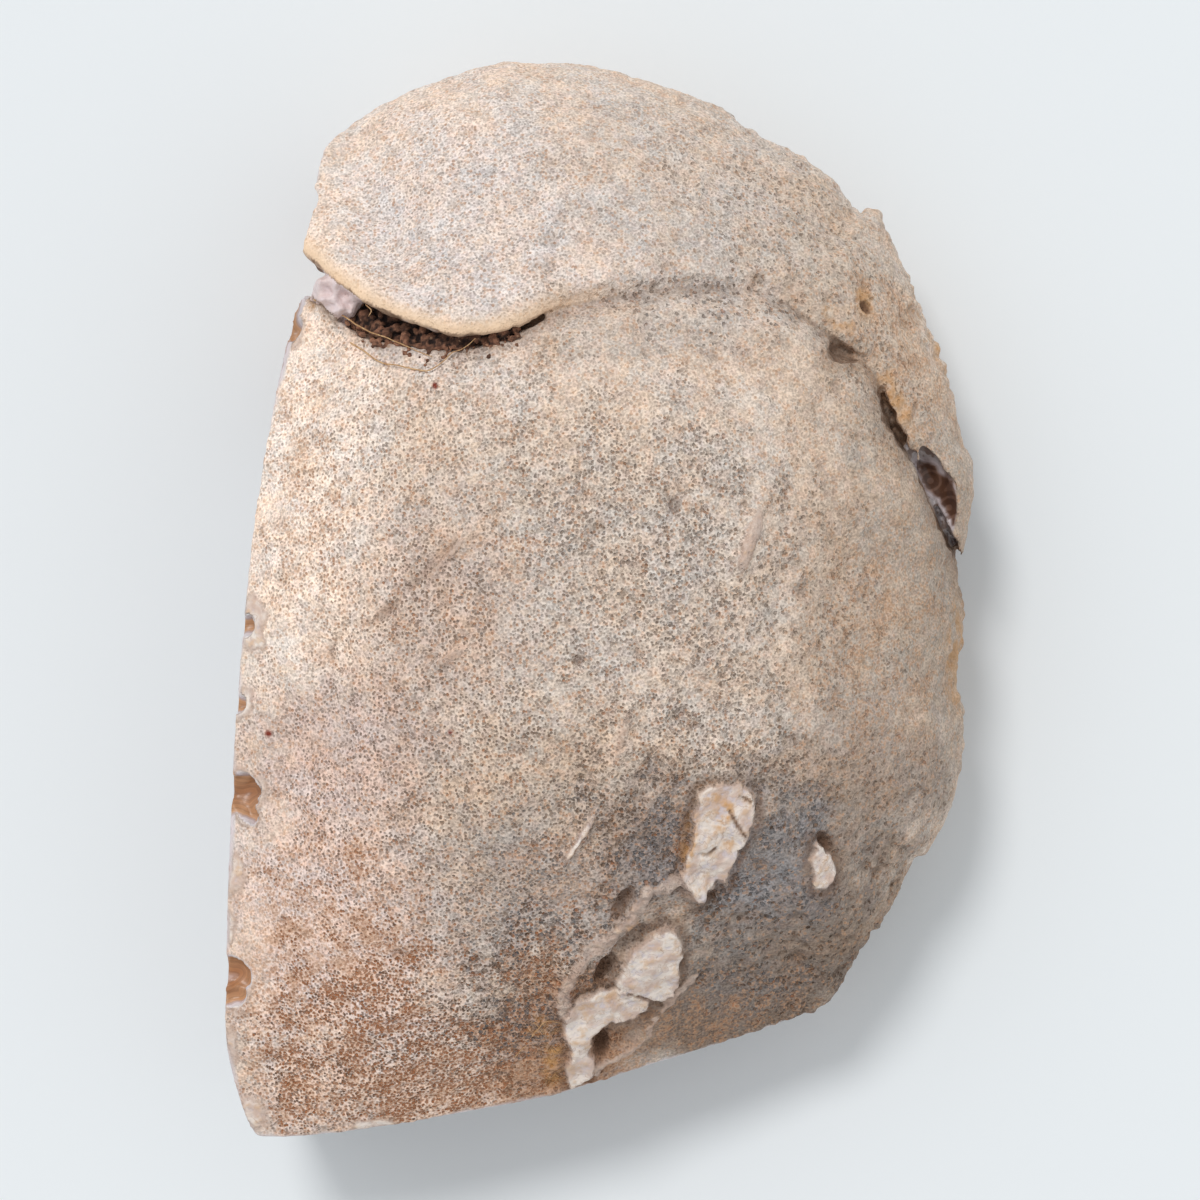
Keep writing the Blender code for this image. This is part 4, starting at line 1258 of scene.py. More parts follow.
    def attributes(self, inward):
        """Masks and colours for the material, by name."""
        x, y, edge = self.x, self.y, self.wobble * 0.6
        face = inside_shape(x, y, POCKET_FACE) + self.fray
        in_pocket = np.clip(0.55 + face * 0.9, 0.3, 3.0)
        eyes = np.min([np.hypot(x - ex, y - ey) for ex, ey in POCKET_EYES], axis=0)
        lip = np.exp(-(((self.away - 0.3) / 1.0) ** 2)) * (self.away > 0.0)
        lip *= smooth_step((6.0 - x) / 16.0) * self.rind
        return {
            "ground": self.ground(),
            "rusty": blobs(x, y, RUST, edge) * self.rind,
            "slate": blobs(x, y, SLATE, edge) * self.rind,
            "pitted": np.maximum(blobs(x, y, PITTED, edge), LEAST_PITTED) * self.rind,
            "ochre": blobs(x, y, OCHRE, edge),
            "lip": lip,
            "porous": self.porous,
            "pore": self.pore,
            "bare": self.bare * self.rind,
            "plug": self.plug_look,
            "stain": self.stain_and_shade(),
            "specks": self.specks(),
            "crack": self.crack,
            "cut": np.maximum.reduce([self.cut, self.chip, self.pocket]),
            "pocket": self.pocket,
            "eye": eyes,
            "inward": np.where(self.pocket > 0.0, in_pocket, inward),
        }


def inward_depth(points, wanted, rind_points):
    """How deep inside the nodule the wanted points lie: their distance from the nearest rind."""
    tree = kdtree.KDTree(len(rind_points))
    for index, point in enumerate(rind_points):
        tree.insert(point, index)
    tree.balance()
    depth = np.zeros(len(points))
    for index in np.flatnonzero(wanted):
        depth[index] = tree.find(points[index])[2]
    return depth


def geode():
    """The stone's surface, its faces and the points along its open lower edge."""
    end_pocket = hollow(END_POCKET_PLACE, END_POCKET_HALF, END_POCKET_TURN, END_POCKET_DROP, 51)
    cutters = [
        cleft_cutter("left_cleft", *LEFT_CLEFT, 21),
        cleft_cutter("right_cleft", *RIGHT_CLEFT, 31),
        ball(end_pocket, "end_pocket", 5),
        *chip_cutters(),
    ]
    points, faces = carved(nodule(), cutters, plug_filling())
    faces = faces[points[faces][:, :, 2].mean(1) > 0.0]
    points, faces, _ = used_only(points, faces)
    loop = rim_loop(faces)
    fixed = np.zeros(len(points), bool)
    fixed[loop] = True
    points[loop, 2] = 0.0
    points[:, 2] = np.maximum(points[:, 2], 0.0)
    points = smoothed(points, faces, SMOOTHING, fixed)
    normals = point_normals(points, faces)
    surface = Surface(points, normals)
    return surface, faces, loop


def named_layers(mesh, layers):
    for name, values in layers.items():
        values = np.asarray(values, np.float32)
        if values.ndim == 1:
            mesh.attributes.new(name, "FLOAT", "POINT").data.foreach_set("value", values)
        else:
            colour = np.concatenate([values, np.ones((len(values), 1), np.float32)], 1)
            mesh.color_attributes.new(name, "FLOAT_COLOR", "POINT").data.foreach_set("color", colour.ravel())


def stone_piece(name, points, faces, normals, layers, material):
    """One part of the stone, shaded with the whole stone's normals so that its edges don't show."""
    points, faces, kept = used_only(points, faces)
    mesh = bpy.data.meshes.new(name)
    mesh.vertices.add(len(points))
    mesh.vertices.foreach_set("co", (points * MM).ravel())
    mesh.loops.add(faces.size)
    mesh.loops.foreach_set("vertex_index", faces.ravel())
    mesh.polygons.add(len(faces))
    mesh.polygons.foreach_set("loop_start", np.arange(0, faces.size, faces.shape[1]))
    mesh.update(calc_edges=True)
    mesh.shade_smooth()
    mesh.normals_split_custom_set_from_vertices(normals[kept])
    named_layers(mesh, {layer: values[kept] for layer, values in layers.items()})
    mesh.materials.append(material)
    return shown(name, mesh)


def shown(name, mesh):
    piece = bpy.data.objects.new(name, mesh)
    bpy.context.scene.collection.objects.link(piece)
    return piece


def base_face(points, loop):
    """The flat underside, as triangles over the loop's points and a grid of points inside them."""
    edge = points[loop][:, :2]
    middle, half = (edge.min(0) + edge.max(0)) / 2.0, (edge.max(0) - edge.min(0)) / 2.0
    across, along = (np.arange(-size, size, BASE_SPACING) for size in half)
    x, y = (part.ravel() for part in np.meshgrid(across + middle[0], along + middle[1]))
    well_inside = inside_shape(x, y, edge[::6].tolist()) > BASE_SPACING * 0.6
    flat = [Vector(point) for point in edge]
    flat += [Vector(point) for point in zip(x[well_inside], y[well_inside])]
    sides = [(index, (index + 1) % len(loop)) for index in range(len(loop))]
    made = geometry.delaunay_2d_cdt(flat, sides, [], 1, 1e-5)
    corners = np.array([(*point, 0.0) for point in made[0]])
    triangles = np.array([face for face in made[2] if len(face) == 3])
    a, b, c = (corners[triangles[:, k], :2] for k in range(3))
    turn = (b - a)[:, 0] * (c - a)[:, 1] - (b - a)[:, 1] * (c - a)[:, 0]
    triangles[turn > 0.0] = triangles[turn > 0.0][:, ::-1]
    return corners, triangles


def soil_profile(place):
    """Rows of the soil wedge's near side, far side and height, from its top down."""
    top = SOIL_DEPTH / place.depth
    rows = np.arange(SOIL_SECTIONS)
    profile = []
    for down in (0, 0.5, SOIL_FOOT_SHARE):
        walls = [place.walls(share) for share in np.maximum(top, down)]
        near = np.array([wall[0][row] for row, wall in zip(rows, walls)]) + SOIL_GAP
        far = np.array([wall[1][row] for row, wall in zip(rows, walls)]) - SOIL_GAP
        near = np.minimum(near, (near + far) / 2.0 - 0.05)
        far = np.maximum(far, near + 0.1)
        profile.append((near, far, -np.maximum(top, down) * place.depth))
    return profile


def add_lump(shape, detail, radius, spot, squash):
    """A ball of earth, squashed along each axis."""
    made = bmesh.ops.create_icosphere(shape, subdivisions=detail, radius=radius)["verts"]
    for vertex in made:
        vertex.co = Vector(spot) + Vector(np.array(vertex.co) * squash)


def add_clods(shape, place, nears, fars, numbers):
    """Clods over the soil's top, smaller and higher towards the lower body."""
    for _ in range(CLODS):
        row = numbers.integers(SOIL_SECTIONS)
        near, far = nears[row], fars[row]
        radius = CLOD_RADIUS[0] + (CLOD_RADIUS[1] - CLOD_RADIUS[0]) * numbers.random() ** 2.5
        radius = min(radius, (far - near) / 2.0 + 0.25)
        across = near + radius * 0.2 + max(far - near - radius * 1.2, 0.0) * numbers.random()
        spot = place.middle[row] + place.side[row] * across
        low_side = 1.0 - (across - near) / max(far - near, 0.5)
        height = place.top[row] - SOIL_DEPTH + numbers.uniform(-0.2, CLOD_REACH) * (0.4 + 0.6 * low_side)
        add_lump(shape, 2, radius, (*spot, height), numbers.uniform(*CLOD_SQUASH, 3))


def add_crumbs(shape, place, numbers):
    """Crumbs of earth that lie on the lower body beside the cleft."""
    for _ in range(CRUMBS):
        row = numbers.integers(SOIL_SECTIONS)
        outside = place.width[row] / 2.0 + numbers.exponential(0.3) - 0.3
        spot = place.middle[row] - place.side[row] * outside
        radius = numbers.uniform(*CRUMB_RADIUS)
        add_lump(shape, 1, radius, (*spot, rind_height(*spot)[0] - radius * 0.1), 1.0)


def soil_clods():
    """Crumbly soil packed in the cleft: a lumpy wedge and clods, grown together."""
    place = Cleft(*SOIL_CLEFT, SOIL_SECTIONS)
    numbers = np.random.default_rng(77)
    profile = soil_profile(place)
    outline = [(near, up) for near, far, up in profile] + [(far, up) for near, far, up in profile[::-1]]
    wedge = mesh_object("soil_wedge", place.points(outline), loft_faces(SOIL_SECTIONS, len(outline)))
    turned_out(wedge)
    shape = bmesh.new()
    shape.from_mesh(wedge.data)
    add_clods(shape, place, *profile[0][:2], numbers)
    add_crumbs(shape, place, numbers)
    shape.to_mesh(wedge.data)
    shape.free()
    points, faces = evened(wedge, SOIL_VOXEL)
    discard(wedge)
    normals = point_normals(points, faces)
    rough = 0.1 * gradient_noise(points, 0.5, 61) + 0.07 * gradient_noise(points, 0.26, 62)
    chance = cell_noise(points, 0.9, 63)[1]
    points = points + normals * rough[:, None]
    normals = point_normals(points, faces)
    filled = smoothed(points, faces, SOIL_GAP_ROUNDS, np.zeros(len(points), bool))
    gap = smooth_step(0.5 + ((filled - points) * normals).sum(1) / SOIL_GAP_DEPTH)
    return points, faces, normals, {"chance": chance, "gap": gap}


def tube(path, radius):
    """Points and faces of a thin round root along a smooth path, thinner towards its end."""
    path = np.array(path, float)
    ground = rind_height(path[:, 0], path[:, 1])
    path[:, 2] += ground
    length = np.linalg.norm(np.diff(path, axis=0), axis=1).sum()
    rows = spline(path, np.linspace(0.0, 1.0, max(int(length / TUBE_STEP), 6)))
    rows = roughened(rows, 1.0, 0.08, 91)
    along = np.gradient(rows, axis=0)
    along /= np.linalg.norm(along, axis=1)[:, None]
    side = np.cross(along, (0.0, 0.0, 1.0))
    side /= np.linalg.norm(side, axis=1)[:, None]
    over = np.cross(side, along)
    share = np.linspace(0.0, 1.0, len(rows))
    thick = radius * (1.0 - 0.55 * share ** 2) * (1.0 + 0.18 * gradient_noise(rows, 0.6, 92))
    angle = np.arange(TUBE_SIDES) / TUBE_SIDES * math.tau
    ring = side[:, None] * np.cos(angle)[None, :, None] + over[:, None] * np.sin(angle)[None, :, None]
    points = rows[:, None] + ring * thick[:, None, None]
    return points.reshape(-1, 3), loft_faces(len(rows), TUBE_SIDES)


def rootlets(material):
    points, faces = [], []
    for path, radius in ROOTLETS:
        start = sum(map(len, points))
        more, sides = tube(path, radius)
        points.append(more)
        faces += [[index + start for index in face] for face in sides]
    piece = mesh_object("rootlets", np.concatenate(points) * MM, faces)
    turned_out(piece)
    piece.data.shade_smooth()
    piece.data.materials.append(material)
    return piece


class Shader:
    """Builds a material's nodes. Places in its patterns are in millimetres."""

    def __init__(self, name):
        self.material = bpy.data.materials.new(name)
        self.material.use_nodes = True
        self.tree = self.material.node_tree
        self.surface = self.tree.nodes["Principled BSDF"]
        place = self.tree.nodes.new("ShaderNodeTexCoord").outputs["Object"]
        self.place = self.vector("SCALE", place, scale=1.0 / MM)

    def link(self, value, socket):
        if isinstance(value, bpy.types.NodeSocket):
            self.tree.links.new(value, socket)
        elif value is not None:
            socket.default_value = value

    def vector(self, operation, one, two=None, scale=None):
        node = self.tree.nodes.new("ShaderNodeVectorMath")
        node.operation = operation
        self.link(one, node.inputs[0])
        self.link(two, node.inputs[1])
        if scale is not None:
            node.inputs["Scale"].default_value = scale
        return node.outputs[0]

    def math(self, operation, *values):
        node = self.tree.nodes.new("ShaderNodeMath")
        node.operation = operation
        for value, socket in zip(values, node.inputs):
            self.link(value, socket)
        return node.outputs[0]

    def layer(self, name, part="Fac"):
        node = self.tree.nodes.new("ShaderNodeAttribute")
        node.attribute_name = name
        return node.outputs[part]

    def noise(self, size, detail=2.0, roughness=0.5, shift=0.0):
        node = self.tree.nodes.new("ShaderNodeTexNoise")
        moved = self.vector("ADD", self.place, (shift, shift * 0.7, -shift))
        self.link(moved, node.inputs["Vector"])
        node.inputs["Scale"].default_value = 1.0 / size
        node.inputs["Detail"].default_value = detail
        node.inputs["Roughness"].default_value = roughness
        return node.outputs["Fac"]

    def parts(self, colour):
        """The three parts of a colour, as numbers."""
        node = self.tree.nodes.new("ShaderNodeSeparateColor")
        self.link(colour, node.inputs[0])
        return tuple(node.outputs)

    def toned(self, colour, tone):
        """A colour made lighter or darker by a number about 1."""
        grey = self.tree.nodes.new("ShaderNodeCombineColor")
        for socket in grey.inputs[:3]:
            self.link(tone, socket)
        return self.mix(1.0, colour, grey.outputs[0], "MULTIPLY")

    def cells(self, size, shift=0.0):
        node = self.tree.nodes.new("ShaderNodeTexVoronoi")
        self.link(self.vector("ADD", self.place, (shift, shift, shift)), node.inputs["Vector"])
        node.inputs["Scale"].default_value = 1.0 / size
        return node.outputs["Distance"], node.outputs["Color"]

    def span(self, value, low, high, out_low=0.0, out_high=1.0):
        """The value's place between two limits, eased at both."""
        node = self.tree.nodes.new("ShaderNodeMapRange")
        node.interpolation_type = "SMOOTHSTEP"
        self.link(value, node.inputs["Value"])
        for name, number in zip(("From Min", "From Max", "To Min", "To Max"), (low, high, out_low, out_high)):
            self.link(number, node.inputs[name])
        return node.outputs["Result"]

    def mix(self, share, one, two, how="MIX"):
        node = self.tree.nodes.new("ShaderNodeMix")
        node.data_type = "RGBA"
        node.blend_type = how
        node.clamp_factor = True
        self.link(share, node.inputs["Factor"])
        for value, socket in zip((one, two), (node.inputs[6], node.inputs[7])):
            self.link((*value, 1.0) if isinstance(value, tuple) else value, socket)
        return node.outputs[2]

    def blend(self, share, one, two):
        """A number between two others."""
        node = self.tree.nodes.new("ShaderNodeMix")
        self.link(share, node.inputs["Factor"])
        self.link(one, node.inputs[2])
        self.link(two, node.inputs[3])
        return node.outputs[0]

    def ramp(self, share, stops):
        node = self.tree.nodes.new("ShaderNodeValToRGB")
        self.link(share, node.inputs["Fac"])
        band = node.color_ramp
        for place, colour in stops[1:-1]:
            band.elements.new(place)
        for element, (place, colour) in zip(band.elements, stops):
            element.position = place
            element.color = (*colour, 1.0)
        return node.outputs["Color"]

    def bump(self, height):
        """Height in millimetres."""
        node = self.tree.nodes.new("ShaderNodeBump")
        node.inputs["Distance"].default_value = MM
        self.link(height, node.inputs["Height"])
        self.link(node.outputs["Normal"], self.surface.inputs["Normal"])

    def finish(self, colour, roughness):
        self.link((*colour, 1.0) if isinstance(colour, tuple) else colour, self.surface.inputs["Base Color"])
        self.link(roughness, self.surface.inputs["Roughness"])
        return self.material


def pits(shader, size, shift, wobble, wide, narrow):
    """How deep a place lies in one of the pits scattered at this spacing, and random numbers of the pit."""
    far, tint = shader.cells(size, shift)
    far = shader.math("ADD", far, wobble)
    return far, shader.span(far, wide, narrow), shader.parts(tint)


def pit_colour(shader, rusty, slate, red, green):
    """A pit is rusty or slate where its random numbers are under those shares, otherwise dark brown; all are
    dark partly as painted shade.
    """
    is_rusty = shader.span(shader.math("SUBTRACT", rusty, red), -0.06, 0.06)
    is_slate = shader.span(shader.math("SUBTRACT", slate, green), -0.06, 0.06)
    colour = shader.mix(shader.math("MULTIPLY", rusty, 0.8), DARK_PIT_AND_SHADE, BROWN_PIT)
    colour = shader.mix(is_rusty, colour, RUSTY_PIT)
    return shader.mix(is_slate, colour, SLATE_PIT), is_rusty


def rind_ground(shader, patch, cloud, parts):
    """The ground between the pits, warmer and cooler in patches and from grain to grain."""
    slate = shader.layer("slate")
    # The ground layer holds painted light and shade as well as the rind's own colours.
    colour = shader.mix(shader.math("MULTIPLY", slate, 0.35), shader.layer("ground", "Color"), SLATE_GROUND)
    tint = shader.mix(shader.span(cloud, 0.38, 0.62), WARM_TINT, COOL_TINT)
    colour = shader.mix(1.0, colour, tint, "MULTIPLY")
    for part, hue in zip(parts, (ORANGE_TINT, BLUE_TINT, PINK_TINT)):
        colour = shader.mix(shader.span(part, 0.4, 0.9), colour, hue, "MULTIPLY")
    rusty = shader.math("MULTIPLY", shader.layer("rusty"), shader.span(patch, 0.42, 0.66))
    colour = shader.mix(shader.math("MULTIPLY", rusty, 0.3), colour, RUSTY_GROUND)
    return shader.toned(colour, shader.span(patch, 0.3, 0.7, 1.0, 0.88))


def pit_wobble(shader, sand, patch, crowded):
    """Makes pits uneven: smaller in some patches, larger where they crowd."""
    wobble = shader.math("MULTIPLY", shader.math("SUBTRACT", sand, 0.5), 0.5)
    wobble = shader.math("ADD", wobble, shader.math("MULTIPLY", shader.math("SUBTRACT", patch, 0.5), -0.3))
    return shader.math("ADD", wobble, shader.math("MULTIPLY", crowded, -0.12))


def rind_stains_and_shade(shader, colour, patch):
    """The rind's colour with the orange lip, ochre, brown stain with painted shade in the clefts, and red
    specks over it.
    """
    colour = shader.mix(shader.math("MULTIPLY", shader.layer("lip"), 0.9), colour, LIP_COLOUR)
    colour = ochre_over(shader, colour, patch)
    # The stain layer holds brown stains and the painted shade in the clefts
    stain = shader.math("MULTIPLY", shader.layer("stain"), shader.span(patch, 0.25, 0.6, 0.6, 1.0))
    colour = shader.mix(stain, colour, STAIN_AND_SHADE_COLOUR)
    return shader.mix(shader.layer("specks"), colour, SPECK_COLOUR)


def rind_look(shader, patch, cloud):
    """Sandy rind: pale ground with small brown, rusty and slate pits close together, with painted shade in
    the pits and painted light on the walls between them. Colour and height.
    """
    sand = shader.noise(0.2, 1.0, 0.5, 31.0)
    slate = shader.math("MULTIPLY", shader.layer("slate"), 0.7)
    rusty = shader.math("MAXIMUM", shader.layer("rusty"), LEAST_RUSTY)
    rusty = shader.math("MULTIPLY", rusty, shader.span(patch, 0.38, 0.66, 0.55, 1.35))
    crowded = shader.math("SUBTRACT", shader.layer("pitted"), USUAL_PITTED)
    wobble = pit_wobble(shader, sand, patch, crowded)
    far, fine, (red, green, blue) = pits(shader, FINE_SPACING, 0.0, wobble, 0.56, 0.24)
    _, wide, parts = pits(shader, WIDE_SPACING, 17.0, wobble, 0.42, 0.22)
    fine = shader.math("MULTIPLY", fine, shader.layer("pitted"))
    strength = shader.span(blue, 0.1, 1.0, 0.25, 1.0)
    strength = shader.math("MAXIMUM", strength, shader.math("MULTIPLY", crowded, 1.1))
    fine = shader.math("MULTIPLY", fine, strength)
    wide = shader.math("MULTIPLY", wide, shader.layer("porous"))
    fine_colour, is_rusty = pit_colour(shader, rusty, slate, red, green)
    wide_colour, _ = pit_colour(shader, shader.math("MULTIPLY", rusty, 0.5), slate, *parts[:2])
    colour = rind_ground(shader, patch, cloud, parts)
    halo = shader.math("MULTIPLY", is_rusty, shader.span(far, 0.95, 0.5))
    colour = shader.mix(shader.math("MULTIPLY", halo, 0.45), colour, RUSTY_GROUND)
    # Painted light on the walls between pits, then painted shade in the fine and wide pits, over the grains'
    # own colours
    colour = shader.mix(shader.span(far, 0.5, 0.8), colour, PALE_AND_LIT_WALL, "MULTIPLY")
    dark = shader.math("MULTIPLY", fine, shader.span(shader.layer("rusty"), 0.0, 1.0, 0.78, 1.0))
    colour = shader.mix(dark, colour, fine_colour)
    colour = shader.mix(shader.math("MULTIPLY", wide, 0.6), colour, wide_colour)
    # Pores and dimples darkened towards the dark pit colour
    colour = shader.mix(shader.math("MULTIPLY", shader.layer("pore"), 0.3), colour, DARK_PIT_AND_SHADE)
    colour = shader.toned(colour, shader.span(sand, 0.3, 0.7, 0.86, 1.14))
    depth = shader.math("ADD", shader.math("MULTIPLY", fine, -0.09), shader.math("MULTIPLY", wide, -0.13))
    height = shader.math("ADD", depth, shader.math("MULTIPLY", sand, 0.07))
    return rind_stains_and_shade(shader, colour, patch), height


def ochre_over(shader, colour, patch):
    share = shader.math("MULTIPLY", shader.layer("ochre"), shader.span(patch, 0.36, 0.6))
    return shader.mix(shader.math("MULTIPLY", share, 0.75), colour, OCHRE_COLOUR)


def bare_look(shader, patch, stained):
    """Bare chalcedony: cream to pinkish, with lilac clouds, ochre stains and a few fine veins."""
    colour = shader.mix(shader.span(patch, 0.36, 0.6), BARE_TAN, BARE_CREAM)
    lilac = shader.span(stained, 0.46, 0.3)
    colour = shader.mix(shader.math("MULTIPLY", lilac, 0.7), colour, BARE_LILAC)
    yellow = shader.math("MULTIPLY", shader.span(stained, 0.52, 0.68), 0.5)
    colour = shader.mix(yellow, colour, BARE_YELLOW)
    colour = ochre_over(shader, colour, stained)
    vein = shader.math("ABSOLUTE", shader.math("SUBTRACT", patch, 0.52))
    colour = shader.mix(shader.span(vein, 0.01, 0.0, 0.0, 0.5), colour, VEIN_COLOUR)
    colour = shader.mix(shader.math("MULTIPLY", shader.layer("plug"), 0.8), colour, PLUG_COLOUR)
    return colour, shader.math("MULTIPLY", stained, 0.32)


def agate_look(shader, cloud, stained):
    """Agate in bands that follow the rind inwards."""
    inward = shader.layer("inward")
    bend = shader.math("SUBTRACT", shader.noise(6.0, 2.0, 0.5, 5.0), 0.5)
    wave = shader.math("SUBTRACT", shader.noise(1.4, 2.0, 0.5, 9.0), 0.5)
    near = shader.math("MULTIPLY", shader.math("MINIMUM", inward, 6.0), 0.45)
    depth = shader.math("ADD", inward, shader.math("MULTIPLY", bend, near))
    depth = shader.math("ADD", depth, shader.math("MULTIPLY", wave, 0.25))
    share = shader.math("DIVIDE", depth, AGATE_DEPTH)
    colour = shader.ramp(share, [(place / AGATE_DEPTH, band) for place, band in AGATE_BANDS])
    fine = shader.math("SINE", shader.math("MULTIPLY", depth, math.tau / FINE_BAND))
    finer = shader.math("SINE", shader.math("MULTIPLY", depth, math.tau / FINER_BAND))
    tone = shader.math("ADD", shader.math("MULTIPLY", fine, 0.10), shader.math("MULTIPLY", finer, 0.06))
    tone = shader.math("ADD", tone, 1.0)
    tone = shader.math("MULTIPLY", tone, shader.span(cloud, 0.3, 0.7, 0.85, 1.12))
    colour = shader.toned(colour, tone)
    colour = pocket_over(shader, colour, inward, wave, stained)
    return colour, shader.math("MULTIPLY", stained, 0.05)


def pocket_over(shader, colour, inward, wave, stained):
    """The end pocket's chocolate agate, with rings about its eyes."""
    far = shader.math("ADD", shader.layer("eye"), shader.math("MULTIPLY", wave, 0.5))
    ring = shader.math("SINE", shader.math("MULTIPLY", far, math.tau / EYE_BAND))
    ring = shader.math("MULTIPLY", shader.span(ring, 0.1, 0.9), shader.span(far, 3.2, 0.6))
    brown = shader.mix(shader.math("MULTIPLY", ring, 0.7), CHOCOLATE, EYE_RING)
    pocket = shader.layer("pocket")
    blotch = shader.span(stained, 0.5, 0.58)
    stain = shader.math("MULTIPLY", shader.math("MULTIPLY", blotch, pocket), 0.7)
    colour = shader.mix(stain, colour, POCKET_STAIN)
    deep = shader.math("MULTIPLY", pocket, shader.span(inward, 0.62, 0.95))
    return shader.mix(shader.math("MULTIPLY", deep, 0.92), colour, brown)


def stone_material():
    shader = Shader("agate_and_rind")
    patch = shader.noise(1.9, 2.0, 0.6, 11.0)
    cloud = shader.noise(5.0, 2.0, 0.6, 83.0)
    stained = shader.noise(1.0, 2.0, 0.65, 19.0)
    rind, rind_relief = rind_look(shader, patch, cloud)
    bare, bare_height = bare_look(shader, patch, stained)
    agate, agate_height = agate_look(shader, cloud, stained)
    is_cut = shader.layer("cut")
    ragged = shader.math("SUBTRACT", stained, 0.5)
    ragged = shader.math("MULTIPLY", ragged, shader.span(shader.layer("bare"), 0.0, 0.3, 0.0, 0.9))
    is_bare = shader.span(shader.math("ADD", shader.layer("bare"), ragged), 0.06, 0.8)
    colour = shader.mix(is_bare, rind, bare)
    edge = shader.math("MULTIPLY", is_bare, shader.math("SUBTRACT", 1.0, is_bare))
    colour = shader.mix(shader.math("MULTIPLY", edge, 2.0), colour, LEAF_EDGE)
    colour = shader.mix(is_cut, colour, agate)
    colour = shader.mix(shader.layer("crack"), colour, CRACK_COLOUR)
    height = shader.blend(is_bare, rind_relief, bare_height)
    height = shader.blend(is_cut, height, agate_height)
    roughness = shader.blend(is_cut, shader.blend(is_bare, RIND_ROUGHNESS, BARE_ROUGHNESS), AGATE_ROUGHNESS)
    shader.bump(height)
    return shader.finish(colour, roughness)


def soil_material():
    shader = Shader("crumbly_soil")
    clod = shader.noise(0.5, 3.0, 0.65)
    colour = shader.mix(shader.span(clod, 0.35, 0.65), SOIL_DARK, SOIL_LIGHT)
    colour = shader.toned(colour, shader.span(shader.layer("chance"), 0.0, 1.0, 0.55, 1.25))
    bits = shader.span(shader.noise(0.35, 1.0, 0.5, 15.0), 0.66, 0.74)
    colour = shader.mix(shader.math("MULTIPLY", bits, 0.6), colour, SOIL_BIT)
    colour = shader.mix(shader.layer("gap"), colour, SOIL_SHADE)
    shader.bump(shader.math("MULTIPLY", clod, 0.25))
    return shader.finish(colour, 0.95)


def root_material():
    shader = Shader("dry_rootlet")
    grain = shader.noise(0.3, 2.0, 0.6)
    colour = shader.mix(shader.span(grain, 0.35, 0.65), ROOT_DARK, ROOT_LIGHT)
    shader.bump(shader.math("MULTIPLY", grain, 0.03))
    return shader.finish(colour, 0.6)


def stone_parts(surface, faces):
    """Which faces belong to each visible piece of the stone, by its name."""
    cut = surface.cut[faces].mean(1) > 0.5
    on_lobe = (surface.away + surface.width / 2.0)[faces].mean(1) > 0.0
    wobble = surface.wobble[faces].mean(1) * 2.0
    along = surface.y[faces].mean(1) + wobble
    across = surface.x[faces].mean(1) + wobble
    body = ~cut & ~on_lobe
    lobe = ~cut & on_lobe
    low, high = np.quantile(along[body], (1.0 / 3.0, 2.0 / 3.0))
    centre = np.median(across[lobe])
    return {
        "sawn_lobe": cut & on_lobe,
        "sawn_body": cut & ~on_lobe,
        "lobe_rind_left": lobe & (across < centre),
        "lobe_rind_right": lobe & (across >= centre),
        "body_rind_upper": body & (along >= high),
        "body_rind_middle": body & (along < high) & (along >= low),
        "body_rind_lower": body & (along < low),
    }


def sawn_base(points, loop, names, reference, material):
    """The underside, all of it cut agate."""
    corners, triangles = base_face(points, loop)
    layers = {name: np.zeros(len(corners)) for name in names if name != "ground"}
    layers["cut"] = np.ones(len(corners))
    layers["inward"] = inward_depth(corners, np.ones(len(corners), bool), reference)
    layers["ground"] = np.tile(np.array(CREAM), (len(corners), 1))
    down = np.tile((0.0, 0.0, -1.0), (len(corners), 1))
    return stone_piece("sawn_base", corners, triangles, down, layers, material)


def make_stone(material):
    """Every piece of the stone, all cut from one surface."""
    surface, faces, loop = geode()
    points = surface.moved()
    points[loop] = surface.points[loop]
    points[:, 2] = np.maximum(points[:, 2], 0.0)
    normals = point_normals(points, faces)
    reference = surface.points[np.flatnonzero(surface.rind > 0.9)[::RIND_STEP]]
    inward = inward_depth(points, np.maximum(surface.cut, surface.chip) > 0.01, reference)
    layers = surface.attributes(inward)
    pieces = [
        stone_piece(name, points, faces[chosen], normals, layers, material)
        for name, chosen in stone_parts(surface, faces).items()
    ]
    pieces.append(sawn_base(points, loop, layers, reference, material))
    for piece in pieces:
        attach(piece, "root")
        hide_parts("geode_stone")


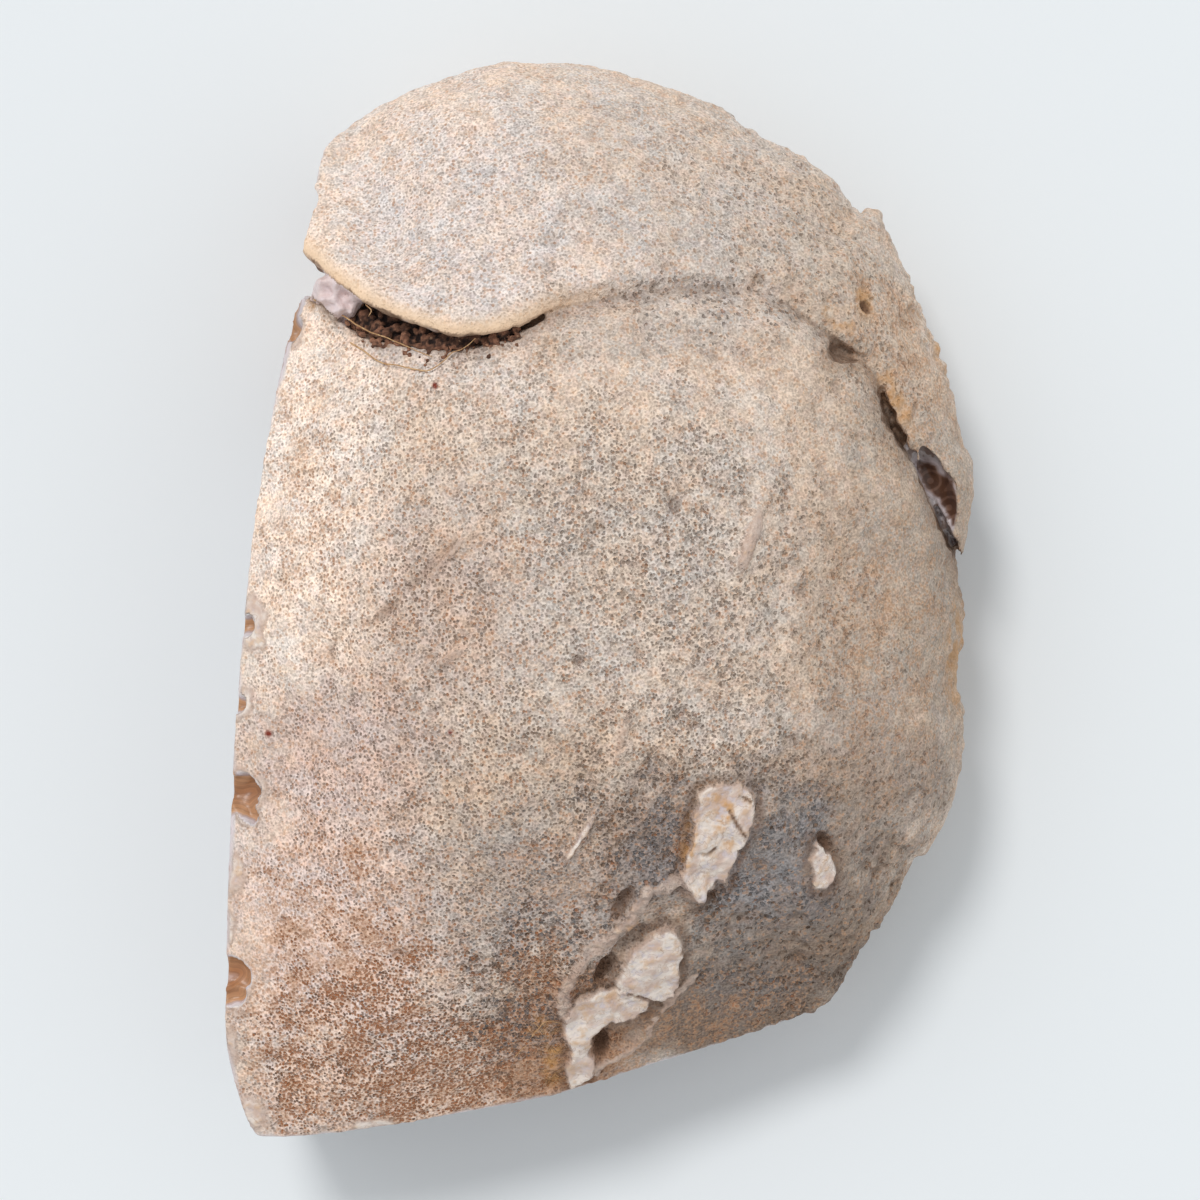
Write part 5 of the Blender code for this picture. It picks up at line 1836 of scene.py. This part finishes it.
def make_soil_and_roots():
    """What lies in the cleft: the soil, and rootlets over it."""
    points, faces, normals, layers = soil_clods()
    soil = stone_piece("soil_clods", points, faces, normals, layers, soil_material())
    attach(soil, "root")
    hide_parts("packed_soil")
    roots = rootlets(root_material())
    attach(roots, "root")


def sun(name, towards, height, spread, strength):
    """A light that comes from a direction: degrees anticlockwise from +X, and above the floor."""
    light = bpy.data.lights.new(name, "SUN")
    light.angle = math.radians(spread)
    light.energy = strength
    made = bpy.data.objects.new(name, light)
    turn, rise = math.radians(towards), math.radians(height)
    source = Vector((math.cos(turn) * math.cos(rise), math.sin(turn) * math.cos(rise), math.sin(rise)))
    made.rotation_euler = source.to_track_quat("Z", "Y").to_euler()
    made.location = source * 0.5
    bpy.context.scene.collection.objects.link(made)


def add_camera():
    """Straight above the stone, as in the photograph."""
    camera = bpy.data.cameras.new("camera")
    camera.lens = LENS
    camera.sensor_width = 36.0
    camera.clip_start = 0.01
    camera.clip_end = 10.0
    made = bpy.data.objects.new("camera", camera)
    made.location = (0.0, 0.0, CAMERA_HEIGHT)
    bpy.context.scene.collection.objects.link(made)
    bpy.context.scene.camera = made


def add_sky():
    world = bpy.data.worlds.new("studio")
    world.use_nodes = True
    sky = world.node_tree.nodes["Background"]
    sky.inputs["Color"].default_value = (*SKY, 1.0)
    sky.inputs["Strength"].default_value = SKY_STRENGTH
    bpy.context.scene.world = world


def add_floor():
    half = FLOOR_SIZE / 2.0
    corners = [(-half, -half, 0.0), (half, -half, 0.0), (half, half, 0.0), (-half, half, 0.0)]
    floor = mesh_object("floor", corners, [(0, 1, 2, 3)])
    floor.data.materials.append(Shader("pale_floor").finish(FLOOR_COLOUR, 0.9))


def studio():
    add_camera()
    sun("key_light", KEY_TOWARDS, KEY_HEIGHT, KEY_SPREAD, KEY_STRENGTH)
    sun("side_light", SIDE_TOWARDS, SIDE_HEIGHT, SIDE_SPREAD, SIDE_STRENGTH)
    add_sky()
    add_floor()
    bpy.context.scene.view_settings.view_transform = "Standard"


make_stone(stone_material())
make_soil_and_roots()
studio()
